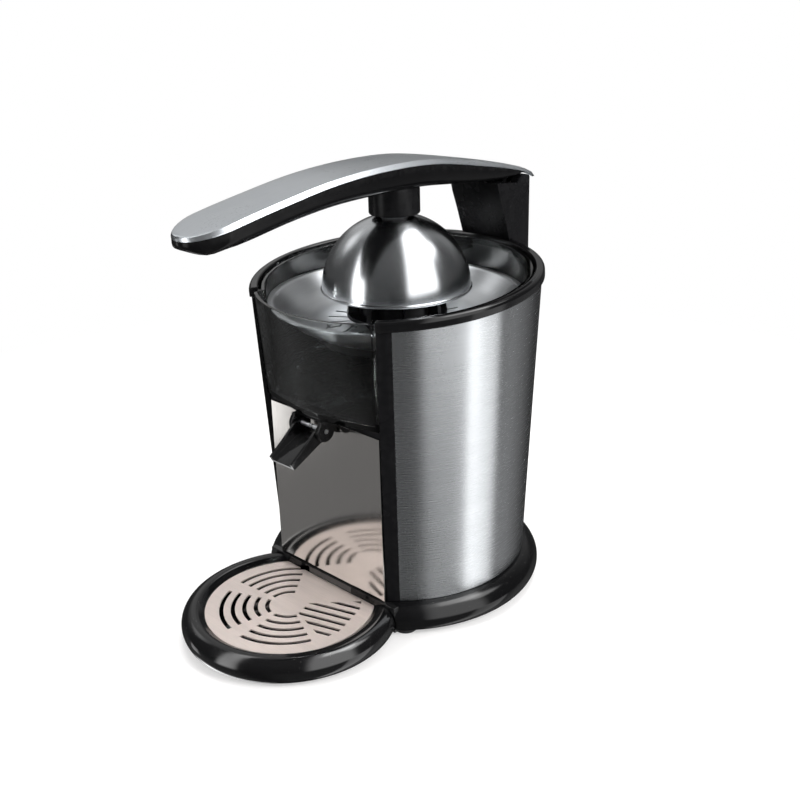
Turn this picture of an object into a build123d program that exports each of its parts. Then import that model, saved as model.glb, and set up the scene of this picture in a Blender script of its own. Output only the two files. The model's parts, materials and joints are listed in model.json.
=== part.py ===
"""Lever citrus press: a motor-driven reamer in a tapered steel housing, a clear juice bowl with a
steel strainer dish, a press dome under a long hinged lever, and a round drip tray in front.

Millimetres, +Z up, +X to the machine's right, -Y towards the user. Every piece is modelled about
the reamer's turning axis (X = 0, Y = 0) with Z = 0 on the table, then moved back by AXIS_Y on
export, so that the origin is the centre of the whole footprint.
"""

import os
from math import acos, cos, pi, radians, sin, sqrt, tan

from build123d import *

# ---- housing -------------------------------------------------------------------------------
FOOT_H = 2.0
BASE_R = 89.5
BASE_TOP_Z = 19.2
WAIST_Y = -67.5              # flat front of the base, where the drip tray docks
WRAP_Z = 19.4
WRAP_R = 79.5                # outer radius of the steel wrap at its lower edge
WRAP_TOP_R = 88.6            # and level with RIM_Z
WRAP_T = 0.8
STRIP_IN = 36.5              # angles of the black strips, from straight ahead
STRIP_OUT = 42.3
RIM_R = 90.0
RIM_Z = 204.3                # top of the rim above the turning axis
RIM_TILT = 3.6               # the rim's plane rises towards the rear
RIM_BAND = 6.0
COLLAR_R = 84.0
COLLAR_Z = 186.0
DECK_Z = 132.0
DECK_T = 3.0
CHASSIS_T = 2.4
PANEL_Y = -66.2
PANEL_T = 1.0
PANEL_TOP_Z = 127.0

# ---- rear column and lever hinge -----------------------------------------------------------
COLUMN_W = 40.0
COLUMN_Y = 109.0             # rear face of the column
COLUMN_Z = 32.0
HINGE_Y = 100.0
HINGE_Z = 240.5
HINGE_R = 9.0
PIN_R = 3.0
KNUCKLE_W = 20.0
EAR_W = 6.0
COLUMN_EDGE_R = 6.0

# ---- lever ---------------------------------------------------------------------------------
LEVER_W = 40.0
LEVER_TIP_Y = -156.0
NOSE_L = 24.0                # length of the rounded end
LEVER_TAIL_Y = 112.0
COVER_T = 4.0
NECK_R = 15.5
NECK_Z = 239.6
DOME_PIN_Z = 247.0
DOME_PIN_R = 2.0

# ---- press dome and reamer -----------------------------------------------------------------
DOME_R = 46.0
DOME_Z = 193.5
DOME_H = 46.0
DOME_T = 1.2
LINER_T = 2.4
CONE_R = 31.0
CONE_Z = 177.0
CONE_TOP_Z = 220.0
CONE_RIDGES = 8

# ---- bowl, strainer and spout --------------------------------------------------------------
BOWL_R = 83.4                # inside the rim's collar
BOWL_T = 2.0
BOWL_Z = 132.3
BOWL_FLOOR_Z = 135.3
BOWL_TOP_Z = 200.5           # the window's upper edge in front
RIM_REAR_Z = 212.0           # just above the rim's highest point
BOWL_TAPER = 0.08            # mm of radius per mm of height
CHIMNEY_R = 15.5
CHIMNEY_Z = 158.0
DISH_T = 0.9
SPOUT_W = 20.0
SPOUT_Y = -75.0
SPOUT_Z = 125.5

# ---- drive ---------------------------------------------------------------------------------
GEAR_MODULE = 1.0
PINION_TEETH = 14
WHEEL_TEETH = 42
GEAR_BACKLASH = 0.30
PLATE_Z = 90.0
PLATE_T = 3.0
SHAFT_R = 4.0
RUNNING = 0.05               # radial clearance of a running fit
MOTOR_R = 25.0
MOTOR_Y = 38.0
MOTOR_H = 52.0
GAP = 0.3                    # between bodies that move apart

# ---- drip tray -----------------------------------------------------------------------------
TRAY_R = 66.5
TRAY_Y = -101.0
TRAY_Z = 1.5
TRAY_RIM_Z = 17.5
GRID_R = 52.0
GRID_Z = 14.7
GRID_T = 1.2
GRID_ARCS = (14.0, 21.0, 28.0, 35.0, 42.0)
GRID_SLOT_W = 2.6
GRID_PITCH = 6.4             # between the straight slots
LEDGE_W = 3.5                # that the grid rests on
TRAY_T = 2.2
TRAY_WALL = 3.2

CENTRE_DIST = GEAR_MODULE * (PINION_TEETH + WHEEL_TEETH) / 2
IDLER_Y = MOTOR_Y / 2
IDLER_X = sqrt(CENTRE_DIST**2 - IDLER_Y**2)
WRAP_SLOPE = (WRAP_TOP_R - WRAP_R) / (RIM_Z - WRAP_Z)
FRONT_Y = TRAY_Y - TRAY_R
REAR_Y = LEVER_TAIL_Y
AXIS_Y = -(FRONT_Y + REAR_Y) / 2
COLLAR_OUTER = WRAP_R + WRAP_SLOPE * (COLLAR_Z - WRAP_Z) - WRAP_T - 0.2
BIG = 400.0


# ---- shape helpers -------------------------------------------------------------------------
def cyl(r, z0, z1, x=0.0, y=0.0):
    """Upright cylinder between two heights."""
    return Pos(x, y, z0) * Cylinder(r, z1 - z0, align=(Align.CENTER, Align.CENTER, Align.MIN))


def tube(outer, inner, z0, z1, x=0.0, y=0.0):
    return cyl(outer, z0, z1, x, y) - cyl(inner, z0 - 1, z1 + 1, x, y)


def block(x0, x1, y0, y1, z0, z1):
    return Pos((x0 + x1) / 2, (y0 + y1) / 2, (z0 + z1) / 2) * Box(x1 - x0, y1 - y0, z1 - z0)


def bar_x(r, x0, x1, y, z):
    """Cylinder along X."""
    return Pos((x0 + x1) / 2, y, z) * Rot(0, 90, 0) * Cylinder(r, x1 - x0)


def bar_y(r, y0, y1, x, z):
    """Cylinder along Y."""
    return Pos(x, (y0 + y1) / 2, z) * Rot(90, 0, 0) * Cylinder(r, y1 - y0)


def turned(points):
    """Solid of revolution about Z from (radius, height) points."""
    outline = Polyline(*[(r, 0, z) for r, z in points], close=True)
    return revolve(make_face(outline), Axis.Z)


def side_plate(points, x0, x1):
    """Polygon of (y, z) points pulled along X."""
    outline = Polyline(*[(x0, y, z) for y, z in points], close=True)
    return extrude(make_face(outline), amount=x1 - x0, dir=(1, 0, 0))


def wedge(a0, a1, r, z0, z1):
    """Sector prism between two angles measured from straight ahead, positive to the right."""
    steps = [a0 + (a1 - a0) * i / 4 for i in range(5)]
    points = [(0, 0)] + [(r * sin(radians(a)), -r * cos(radians(a))) for a in steps]
    outline = Polyline(*[(x, y, z0) for x, y in points], close=True)
    return extrude(make_face(outline), amount=z1 - z0, dir=(0, 0, 1))


def under_rim(drop=0.0):
    """Everything below the sloping rim plane, lowered by drop."""
    return Pos(0, 0, RIM_Z - drop) * Rot(RIM_TILT, 0, 0) * Box(
        BIG, BIG, BIG, align=(Align.CENTER, Align.CENTER, Align.MAX)
    )


def wrap_radius(z):
    return WRAP_R + WRAP_SLOPE * (z - WRAP_Z)


def cone_solid(offset, z0, z1):
    """Solid inside the wrap's outer surface moved inwards by offset."""
    return turned([(0, z0), (wrap_radius(z0) - offset, z0), (wrap_radius(z1) - offset, z1), (0, z1)])


def behind(y):
    """Half space at larger Y than y."""
    return block(-BIG, BIG, y, BIG, -BIG, BIG)


def save(name, shape):
    export_step(Pos(0, AXIS_Y, 0) * shape, f"parts/{name}.step")


# ---- base ----------------------------------------------------------------------------------
PLATE_R = 69.7
FEET = [(sx * 55.0, y) for sx in (-1, 1) for y in (-56.0, 56.0)]
BASE_SCREWS = [(sx * 40.0, sy * 40.0) for sx in (-1, 1) for sy in (-1, 1)]


def base_shell():
    """Rounded black ring under the housing, closed across its flat front."""
    ring = turned(
        [(PLATE_R + 0.3, FOOT_H), (83.5, FOOT_H), (87.2, 3.4), (89.0, 6.2), (BASE_R, 9.0), (89.0, 12.0),
         (86.6, 15.6), (83.0, 18.2), (80.4, BASE_TOP_Z), (PLATE_R + 0.3, BASE_TOP_Z)]
    )
    front_wall = block(-57.0, 57.0, WAIST_Y, WAIST_Y + 4.0, FOOT_H, BASE_TOP_Z)
    ledge = tube(PLATE_R + 2.0, PLATE_R - 5.0, 5.3, 8.3)
    shell = (ring + front_wall + ledge) & behind(WAIST_Y)
    return shell


def base_plate():
    """Floor of the housing with air slots and four screw holes."""
    plate = cyl(PLATE_R, 2.2, 5.0) & behind(WAIST_Y + 4.3)
    for i in range(-4, 5):
        plate -= block(i * 6.0 - 1.2, i * 6.0 + 1.2, -18.0, 18.0, 0.0, 9.0)
    for x, y in BASE_SCREWS:
        plate -= cyl(2.1, 0.0, 9.0, x, y)
    return plate


def base_screws():
    parts = Part()
    for x, y in BASE_SCREWS:
        parts += Pos(x, y, 0) * (cyl(3.4, 0.9, 2.2) + cyl(1.95, 2.2, 14.0) - cyl(1.5, 0.5, 1.5))
    return parts


def rubber_feet():
    parts = Part()
    for x, y in FEET:
        parts += cyl(7.0, 0.0, FOOT_H, x, y)
    return parts


# ---- chassis, wrap and trims ---------------------------------------------------------------
SKIN = WRAP_T + 0.2           # the wrap's sheet and the gap behind it
PANEL_BACK = PANEL_Y + PANEL_T + 0.1
BOSS_R = 12.0
BOSS_Z = 156.0
BUSH_R = 8.0
POSTS = [(60.0 * sin(radians(a)), -60.0 * cos(radians(a))) for a in (40.0, 130.0, 230.0, 320.0)]


def cord_hole():
    """Hole for the wiring through chassis, wrap and column."""
    return bar_y(4.2, 60.0, 95.0, 0.0, 46.0)


def chassis():
    """Moulded inner housing: the wall behind the wrap, with posts for the base plate."""
    wall = cone_solid(SKIN, BASE_TOP_Z + 0.1, DECK_Z - DECK_T)
    inside = cone_solid(SKIN + CHASSIS_T, BASE_TOP_Z - 5, DECK_Z)
    body = (wall & behind(PANEL_BACK)) - (inside & behind(PANEL_BACK + CHASSIS_T))
    for x, y in BASE_SCREWS:
        post = cyl(5.0, 5.2, 30.0, x, y)
        arm = block(min(x, 2 * x), max(x, 2 * x), y - 1.5, y + 1.5, BASE_TOP_Z + 0.1, 30.0)
        body += post + (arm & cone_solid(SKIN + 1.0, BASE_TOP_Z, 31.0))
        body -= cyl(2.0, 4.0, 18.0, x, y)
    return body - cord_hole()


def deck():
    """Floor under the juice bowl: rests on the chassis wall and carries the upper bush and the posts."""
    plate = cone_solid(SKIN, DECK_Z - DECK_T, DECK_Z) & behind(PANEL_BACK)
    plate += cyl(BOSS_R, DECK_Z - DECK_T - 4.0, BOSS_Z)
    for x, y in POSTS:
        plate += cyl(4.5, PLATE_Z + PLATE_T, DECK_Z - 1.0, x, y)
        plate -= cyl(1.55, PLATE_Z, PLATE_Z + PLATE_T + 12.0, x, y)
    return plate - cyl(BUSH_R + RUNNING, 100.0, 160.0)


def steel_wrap():
    """Brushed sheet round the sides and back, open between the strips."""
    outer = cone_solid(0.0, WRAP_Z, 215.0)
    inner = cone_solid(WRAP_T, WRAP_Z - 1.0, 216.0)
    sheet = (outer - inner) & under_rim(RIM_BAND - 1.0)
    sheet -= wedge(-STRIP_OUT, STRIP_OUT, 200.0, 0.0, 230.0)
    return sheet - cord_hole()


def strip(side):
    """Black trim that closes the edge of the wrap beside the front opening."""
    band = cone_solid(-0.4, WRAP_Z, 215.0) - cone_solid(3.2, WRAP_Z - 1.0, 216.0)
    band &= under_rim(RIM_BAND)
    edges = sorted((side * (STRIP_IN + 0.1), side * (STRIP_OUT - 0.1)))
    band &= wedge(edges[0], edges[1], 200.0, 0.0, 230.0)
    body = cone_solid(WRAP_T + 0.15, BASE_TOP_Z, DECK_Z + 0.1) & behind(PANEL_Y + PANEL_T)
    return band - body - cyl(COLLAR_OUTER + 0.1, COLLAR_Z - 0.2, BIG)


def front_panel():
    """Flat polished panel behind the glass, between the strips."""
    half = 47.6
    panel = block(-half, half, PANEL_Y, PANEL_Y + PANEL_T, WRAP_Z, PANEL_TOP_Z)
    for side in (-1, 1):
        panel -= strip(side)
    return panel


def top_ring():
    """Black rim with a deep collar; its front sector is left to the clear bowl."""
    rim = cyl(RIM_R, RIM_Z - 30, RIM_Z + 12) & under_rim()
    rim = fillet(rim.faces().sort_by(Axis.Z)[-1].edges(), 2.6)
    rim -= under_rim(RIM_BAND)
    collar = cyl(COLLAR_OUTER, COLLAR_Z, RIM_Z + 12) & under_rim(RIM_BAND - 1.0)
    ring = (rim + collar) - cyl(COLLAR_R, COLLAR_Z - 5, RIM_Z + 20)
    sheet = cone_solid(-0.3, 100.0, 215.0) - cone_solid(WRAP_T + 0.15, 99.0, 216.0)
    ring -= sheet & under_rim(RIM_BAND - 1.2)
    return ring - wedge(-STRIP_IN, STRIP_IN, 200.0, 0.0, 230.0)


# ---- rear column ---------------------------------------------------------------------------
COLUMN_SCREWS = [60.0, 120.0, 180.0]


def column_outline():
    """Side view of the column in (y, z): leaning gooseneck above a straight spine."""
    return [
        (70.0, COLUMN_Z), (COLUMN_Y, COLUMN_Z), (COLUMN_Y, HINGE_Z - 6.0), (HINGE_Y, HINGE_Z - 6.0),
        (91.5, 245.4), (72.5, 247.6), (75.0, 238.0), (79.5, 226.0), (83.5, 214.0),
        (86.0, 206.0), (70.0, 206.0),
    ]


def rounded_back():
    """Upright block with the rounded back edges that column and ears share."""
    half = COLUMN_W / 2
    body = block(-half, half, 50.0, COLUMN_Y, COLUMN_Z, HINGE_Z + HINGE_R + 5.0)
    upright = [e for e in body.edges().filter_by(Axis.Z) if e.center().Y > COLUMN_Y - 1]
    return fillet(upright, COLUMN_EDGE_R)


def rear_column():
    """Hollow black column up the back that carries the lever's hinge ears."""
    half = COLUMN_W / 2
    body = side_plate(column_outline(), -half, half)
    body -= cone_solid(-0.15, 0.0, RIM_Z + 2.0) & under_rim(RIM_BAND - 0.2)
    body -= (cyl(RIM_R + 0.15, RIM_Z - 20, RIM_Z + 20) & under_rim(-0.15)) - under_rim(RIM_BAND + 0.2)
    body -= cyl(COLLAR_R, COLLAR_Z - 5, RIM_Z + 4.0)
    body -= block(-half + 3.0, half - 3.0, 92.0, COLUMN_Y - 3.4, COLUMN_Z + 4.0, 228.0)
    body -= block(-half + 4.2, half - 4.2, COLUMN_Y - 4.0, COLUMN_Y + 1.0, COLUMN_Z + 8.0, 205.0)
    for side in (-1, 1):
        ear = bar_x(HINGE_R, half - EAR_W, half, HINGE_Y, HINGE_Z)
        web = block(half - EAR_W, half, HINGE_Y - HINGE_R, HINGE_Y + HINGE_R, HINGE_Z - 8.0, HINGE_Z)
        ear = ear + web
        body += ear if side > 0 else mirror(ear, Plane.YZ)
    body &= rounded_back()
    body -= bar_x(PIN_R, -half - 1, half + 1, HINGE_Y, HINGE_Z)
    saddle = bar_x(HINGE_R + 1.2, -half + EAR_W, half - EAR_W, HINGE_Y, HINGE_Z)
    body -= saddle + block(-half + EAR_W, half - EAR_W, 88.4, HINGE_Y, HINGE_Z - 2.0, HINGE_Z + 20.0)
    for z in COLUMN_SCREWS:
        boss = bar_y(3.6, 95.0, COLUMN_Y - 2.4, 0.0, z)
        rib = block(-half + 2.0, half - 2.0, 95.0, 99.0, z - 1.5, z + 1.5)
        body += (boss + rib) - cone_solid(-0.15, 0.0, 230.0)
        body -= bar_y(1.55, 94.0, COLUMN_Y, 0.0, z)
    body -= cord_hole()
    return body - bar_y(5.0, COLUMN_Y - 5.0, COLUMN_Y + 1.0, 0.0, COLUMN_Z + 8.0)


def column_cover():
    """Flat cover let into the column's back."""
    half = COLUMN_W / 2 - 4.4
    cover = block(-half, half, COLUMN_Y - 2.3, COLUMN_Y - 0.4, COLUMN_Z + 14.4, 204.8)
    for z in COLUMN_SCREWS:
        cover -= bar_y(1.7, COLUMN_Y - 5, COLUMN_Y + 1, 0.0, z)
        cover -= bar_y(3.2, COLUMN_Y - 1.5, COLUMN_Y + 1, 0.0, z)
    return cover


def column_screws():
    parts = Part()
    for z in COLUMN_SCREWS:
        screw = bar_y(1.5, COLUMN_Y - 12.0, COLUMN_Y - 1.5, 0.0, z)
        head = bar_y(3.0, COLUMN_Y - 1.5, COLUMN_Y - 0.3, 0.0, z)
        slot = block(-2.2, 2.2, COLUMN_Y - 0.8, COLUMN_Y, z - 0.4, z + 0.4)
        parts += screw + head - slot
    return parts


def cord_gland():
    """Rubber gland where the mains cord enters, low on the column's back."""
    z = COLUMN_Z + 8.0
    gland = bar_y(5.0, COLUMN_Y - 5.0, COLUMN_Y - 0.3, 0.0, z)
    gland += bar_y(6.4, COLUMN_Y, COLUMN_Y + 2.6, 0.0, z)
    gland += bar_y(4.9, COLUMN_Y - 0.5, COLUMN_Y + 0.5, 0.0, z)
    return gland - bar_y(3.3, COLUMN_Y - 8.0, COLUMN_Y + 6.0, 0.0, z)


# ---- juice bowl and strainer ---------------------------------------------------------------
def front_sector(inset, z0, z1):
    """Bowed front of the bowl: nearly flat at its foot, following the rim's circle at the top."""
    faces = []
    for z in (z0, z1):
        t = (z - BOWL_Z) / (BOWL_TOP_Z - BOWL_Z)
        half = 52.0 + 2.0 * t - inset
        side_y = -66.4 - 2.5 * t + 0.6 * inset
        nose_y = -75.5 - 12.0 * t + inset
        arc = ThreePointArc((-half, side_y, z), (0, nose_y, z), (half, side_y, z))
        rest = Polyline((half, side_y, z), (half, -50.0, z), (-half, -50.0, z), (-half, side_y, z))
        faces.append(make_face(arc + rest))
    side = STRIP_IN - 0.4 - inset * 0.7
    return loft(faces) & wedge(-side, side, 200.0, z0 - 1, z1 + 1)


def bowl_radius(z):
    return BOWL_R - BOWL_TAPER * (RIM_REAR_Z - z)


def round_bowl(inset, z0, z1):
    return turned([(0, z0), (bowl_radius(z0) - inset, z0), (bowl_radius(z1) - inset, z1), (0, z1)])


def juice_bowl():
    """Clear bowl with a bowed front window, central chimney and a drain above the spout."""
    top = BOWL_TOP_Z + 14.0
    bowl = front_sector(0.0, BOWL_Z, top) + round_bowl(0.0, BOWL_Z, top)
    bowl &= under_rim(1.6)
    hollow = front_sector(BOWL_T, BOWL_FLOOR_Z, top + 1) + round_bowl(BOWL_T, BOWL_FLOOR_Z, top + 1)
    bowl -= hollow
    bowl += cyl(CHIMNEY_R, BOWL_Z, CHIMNEY_Z)
    bowl -= cyl(CHIMNEY_R - 2.2, BOWL_Z - 1, CHIMNEY_Z + 1)
    for angle in (60.0, 180.0, 300.0):
        pad = wedge(angle - 5, angle + 5, 200.0, 185.0, 188.6)
        bowl += pad & (round_bowl(BOWL_T - 0.2, 184.0, 190.0) - cyl(78.6, 180.0, 195.0))
    bowl -= block(-6.0, 6.0, -73.0, -67.6, BOWL_Z - 1, BOWL_FLOOR_Z + 1)
    return bowl


def bowl_seal():
    """Rubber ring between the bowl's chimney and the chassis boss."""
    return tube(CHIMNEY_R - 2.3, 12.1, 150.0, 154.0)


DISH = [(48.0, 171.4), (58.0, 173.6), (66.0, 178.4), (72.5, 185.0), (76.0, 188.8), (79.3, 188.8)]
STRAINER_IN = 24.5
SLOTS = 24


def strainer_dish():
    """Pressed steel pan, hung by its lip in the bowl."""
    upper = [(r - 0.35, z + DISH_T) for r, z in reversed(DISH)]
    upper[0] = (DISH[-1][0], DISH[-1][1] + DISH_T)
    upper[-1] = (DISH[0][0], DISH[0][1] + DISH_T)
    return turned(DISH + upper)


def strainer_plate():
    """Slotted floor of the pan, round the reamer."""
    r, z = DISH[0]
    plate = turned([(STRAINER_IN, z + 0.6), (r, z), (r, z + DISH_T), (STRAINER_IN, z + 0.6 + DISH_T)])
    for i in range(SLOTS):
        slot = block(29.0, 45.0, -0.9, 0.9, z - 4, z + 4)
        plate -= Rot(0, 0, i * 360.0 / SLOTS) * slot
    return plate


def strainer_ring():
    """Black carrier under the dish, standing on the chimney."""
    ring = turned(
        [(17.0, 158.3), (24.0, 158.3), (40.0, 163.0), (51.0, 166.0), (51.0, 170.9),
         (48.0, 170.9), (47.5, 168.0), (38.0, 165.6), (23.0, 161.4), (17.0, 161.4)]
    )
    for i in range(12):
        ring -= Rot(0, 0, i * 30.0 + 7.5) * block(29.0, 42.0, -2.4, 2.4, 150.0, 168.0)
    return ring + tube(17.0, 14.0, 158.3, 161.4)


# ---- spout ---------------------------------------------------------------------------------
def spout_body():
    """Two round ears under the bowl's front that carry the drip-stop."""
    outer = SPOUT_W / 2 + 3.0
    body = block(-outer, outer, PANEL_Y - 8.4, PANEL_Y - 0.2, 129.4, 132.1)
    for side in (-1, 1):
        x0, x1 = sorted((side * (SPOUT_W / 2 + 0.4), side * outer))
        body += bar_x(6.6, x0, x1, SPOUT_Y, SPOUT_Z)
        body += block(x0, x1, SPOUT_Y - 4.0, PANEL_Y - 0.2, SPOUT_Z, 132.1)
    body -= block(-8.0, 8.0, -73.8, -67.4, 120.0, 140.0)
    return body - bar_x(1.5, -outer - 1, outer + 1, SPOUT_Y, SPOUT_Z)


def spout_flap():
    """Open trough that tips up about its pin to stop the last drops."""
    half = SPOUT_W / 2
    trough = [
        (-68.2, 120.4), (-78.0, 117.6), (-98.5, 108.0), (-100.5, 111.6),
        (-90.0, 119.2), (-80.5, 127.0), (-68.2, 128.6),
    ]
    hollow = [
        (-60.0, 122.2), (-68.2, 122.2), (-78.0, 119.4), (-98.5, 109.8),
        (-110.0, 104.0), (-110.0, 140.0), (-60.0, 140.0),
    ]
    body = side_plate(trough, -half, half) - side_plate(hollow, -half + 1.6, half - 1.6)
    return body - bar_x(1.5 + RUNNING, -half - 1, half + 1, SPOUT_Y, SPOUT_Z)


def spout_pin():
    outer = SPOUT_W / 2 + 3.0
    return bar_x(1.5, -outer, outer, SPOUT_Y, SPOUT_Z)


# ---- drive ---------------------------------------------------------------------------------
PRESSURE_ANGLE = radians(20.0)


def gear(teeth, z0, z1, x, y, phase):
    """Spur gear with involute flanks; phase is the direction of one tooth's centre."""
    pitch_r = GEAR_MODULE * teeth / 2
    base_r = pitch_r * cos(PRESSURE_ANGLE)
    tip_r = pitch_r + 0.8 * GEAR_MODULE
    root_r = pitch_r - 1.1 * GEAR_MODULE
    half_tooth = (pi * GEAR_MODULE / 2 - GEAR_BACKLASH / 2) / (2 * pitch_r)
    opening = half_tooth + tan(PRESSURE_ANGLE) - PRESSURE_ANGLE
    radii = [max(base_r, root_r) + (tip_r - max(base_r, root_r)) * i / 3 for i in range(4)]
    flank = [(root_r, opening)] if root_r < base_r else []
    for r in radii:
        roll = acos(base_r / r)
        flank.append((r, opening - (tan(roll) - roll)))
    outline = []
    for i in range(teeth):
        centre = phase + 2 * pi * i / teeth
        outline += [(r, centre - a) for r, a in flank]
        outline += [(r, centre + a) for r, a in reversed(flank)]
    points = [(x + r * cos(a), y + r * sin(a), z0) for r, a in outline]
    return extrude(make_face(Polyline(*points, close=True)), amount=z1 - z0, dir=(0, 0, 1))


def mesh_phase(own_phase, own_teeth, other_teeth, direction):
    """Phase that puts the other gear's gap opposite this gear's tooth along direction."""
    return direction + pi + pi / other_teeth - (own_phase - direction) * own_teeth / other_teeth


TO_IDLER = acos(IDLER_X / CENTRE_DIST)
TO_PINION = pi - TO_IDLER
IDLER_PHASE = mesh_phase(0.0, WHEEL_TEETH, PINION_TEETH, TO_IDLER)
PINION_PHASE = mesh_phase(IDLER_PHASE, WHEEL_TEETH, PINION_TEETH, TO_PINION)
COVER_X, COVER_Y, COVER_R = 4.0, 15.0, 41.6
COVER_TOP = 118.5


def gear_plate():
    """Steel plate that hangs from the chassis posts and carries motor, gears and switch."""
    plate = block(-56.0, 56.0, -56.0, 66.0, PLATE_Z, PLATE_Z + PLATE_T) & cyl(68.0, 0.0, 200.0)
    plate -= cyl(7.0, 0.0, 200.0)
    plate -= cyl(8.1, 0.0, 200.0, 0.0, MOTOR_Y)
    plate -= cyl(2.0, 0.0, 200.0, IDLER_X, IDLER_Y)
    for x, y in POSTS:
        plate -= cyl(1.75, 0.0, 200.0, x, y)
    for x in (-17.0, 17.0):
        plate += block(x - 1.0, x + 1.0, -6.0, 6.0, 62.0, PLATE_Z + 1.0)
    plate += block(-18.0, 18.0, -6.0, 6.0, 62.0, 64.0)
    return plate


def gearbox_cover():
    """Shallow pot over the gear train."""
    pot = cyl(COVER_R, PLATE_Z + PLATE_T, COVER_TOP, COVER_X, COVER_Y)
    pot -= cyl(COVER_R - 2.0, PLATE_Z, COVER_TOP - 2.5, COVER_X, COVER_Y)
    pot -= cyl(8.0, 0.0, 200.0)
    return pot - cyl(2.0, 0.0, 200.0, IDLER_X, IDLER_Y)


def gearbox_screws():
    parts = Part()
    for x, y in POSTS:
        head = cyl(3.4, PLATE_Z - 2.2, PLATE_Z, x, y) - cyl(1.4, PLATE_Z - 3.0, PLATE_Z - 1.0, x, y)
        parts += head + cyl(1.5, PLATE_Z, PLATE_Z + 14.0, x, y)
    return parts


def motor():
    """Motor can with a flange boss, end cap and terminal block."""
    top = PLATE_Z - 0.1
    can = cyl(MOTOR_R, top - MOTOR_H, top, 0.0, MOTOR_Y)
    can += cyl(8.0, top, PLATE_Z + PLATE_T + 0.8, 0.0, MOTOR_Y)
    can += cyl(10.0, top - MOTOR_H - 5.0, top - MOTOR_H, 0.0, MOTOR_Y)
    for i in range(8):
        vent = block(MOTOR_R - 2.0, MOTOR_R + 1.0, -2.0, 2.0, top - MOTOR_H + 8.0, top - 10.0)
        can -= Pos(0, MOTOR_Y, 0) * Rot(0, 0, 22.5 + i * 45.0) * vent
    return can - cyl(2.5 + RUNNING, 60.0, 200.0, 0.0, MOTOR_Y)


def motor_pinion():
    """Pinion pressed on the motor shaft."""
    teeth = gear(PINION_TEETH, 97.0, 104.0, 0.0, MOTOR_Y, PINION_PHASE)
    return teeth + cyl(2.5, 60.6, 105.5, 0.0, MOTOR_Y)


def idler_gear():
    """Two-stage wheel between the pinion and the output wheel."""
    wheel = gear(WHEEL_TEETH, 98.0, 103.0, IDLER_X, IDLER_Y, IDLER_PHASE)
    small = gear(PINION_TEETH, 103.0, 113.0, IDLER_X, IDLER_Y, IDLER_PHASE)
    hub = cyl(4.5, 93.6, 98.0, IDLER_X, IDLER_Y)
    return (wheel + small + hub) - cyl(2.0 + RUNNING, 80.0, 130.0, IDLER_X, IDLER_Y)


def idler_pin():
    return cyl(2.0, PLATE_Z, COVER_TOP, IDLER_X, IDLER_Y)


def shaft_key(radius):
    """Round section with one flat, shared by the shaft and its wheel."""
    return cyl(radius, 0.0, 300.0) - block(radius - 0.8, radius + 1.0, -9.0, 9.0, -1.0, 301.0)


def output_gear():
    """Wheel that turns the reamer shaft and lets it slide."""
    wheel = gear(WHEEL_TEETH, 105.0, 112.0, 0.0, 0.0, 0.0) + cyl(5.8, 95.8, 114.0)
    return wheel - shaft_key(SHAFT_R + RUNNING)


def lower_bush():
    return tube(7.0, SHAFT_R + RUNNING, 88.5, 93.0) + tube(8.6, SHAFT_R + RUNNING, 93.0, 95.4)


def upper_bush():
    return tube(8.0, SHAFT_R + RUNNING, 140.0, 155.8)


def drive_shaft():
    """Shaft from the switch plunger to the reamer, with a spring collar."""
    shaft = cyl(SHAFT_R, 84.0, 162.0)
    shaft -= block(SHAFT_R - 0.8, SHAFT_R + 1.0, -9.0, 9.0, 92.0, 121.0)
    shaft += cyl(7.4, 126.3, 129.0)
    drive = extrude(RegularPolygon(5.0, 6), amount=40.0)
    return shaft + Pos(0, 0, 161.0) * drive


def shaft_spring():
    """Coil spring between the output wheel and the shaft's collar."""
    coil = Helix(pitch=3.4, height=10.2, radius=5.7)
    wire = Plane(origin=coil @ 0, z_dir=coil % 0) * Circle(0.6)
    return Pos(0, 0, 115.0) * sweep(wire, path=coil)


def switch_body():
    """Micro switch under the shaft."""
    return block(-10.0, 10.0, -5.0, 5.0, 64.0, 76.0) - cyl(1.9, 70.0, 80.0)


def switch_plunger():
    return cyl(1.6, 73.2, 83.7)


def cone():
    """Reamer with eight ridges on a domed core, skirt and hexagonal socket."""
    envelope = half_egg(CONE_R, CONE_TOP_Z - CONE_Z, CONE_Z)
    ridges = Part()
    for i in range(CONE_RIDGES // 2):
        ridge = block(-CONE_R - 5, CONE_R + 5, -1.7, 1.7, CONE_Z, CONE_TOP_Z + 1)
        ridges += Rot(0, 0, 11.0 + i * 360.0 / CONE_RIDGES) * ridge
    core = half_egg(24.0, CONE_TOP_Z - CONE_Z - 3.0, CONE_Z)
    body = (ridges & envelope) + core + cyl(CONE_R, CONE_Z, CONE_Z + 2.4)
    body -= half_egg(21.0, CONE_TOP_Z - CONE_Z - 9.0, CONE_Z - 0.5) - cyl(9.0, 0.0, 300.0)
    body += cyl(9.0, 165.0, CONE_Z + 6.0)
    socket = extrude(RegularPolygon(5.0 + RUNNING, 6), amount=60.0)
    return body - Pos(0, 0, 142.0) * socket


def half_egg(radius, height, z):
    """Solid dome, elliptical in section, standing at z."""
    arc = Plane.XZ * Pos(0, z) * EllipticalCenterArc((0, 0), radius, height, start_angle=0, arc_size=90)
    base = Polyline((0, 0, z + height), (0, 0, z), (radius, 0, z))
    return revolve(make_face(arc + base), Axis.Z)


# ---- press dome ----------------------------------------------------------------------------
def press_dome():
    """Steel half egg with a rolled lower edge."""
    dome = half_egg(DOME_R, DOME_H, DOME_Z) + cyl(DOME_R + 0.6, DOME_Z, DOME_Z + 1.8)
    dome -= half_egg(DOME_R - DOME_T, DOME_H - DOME_T, DOME_Z)
    return dome - cyl(9.2, DOME_Z + 20.0, DOME_Z + 60.0)


LINER_R = DOME_R - DOME_T - 0.1
LINER_H = DOME_H - DOME_T - 0.1
RIB_H = 2.6


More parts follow.
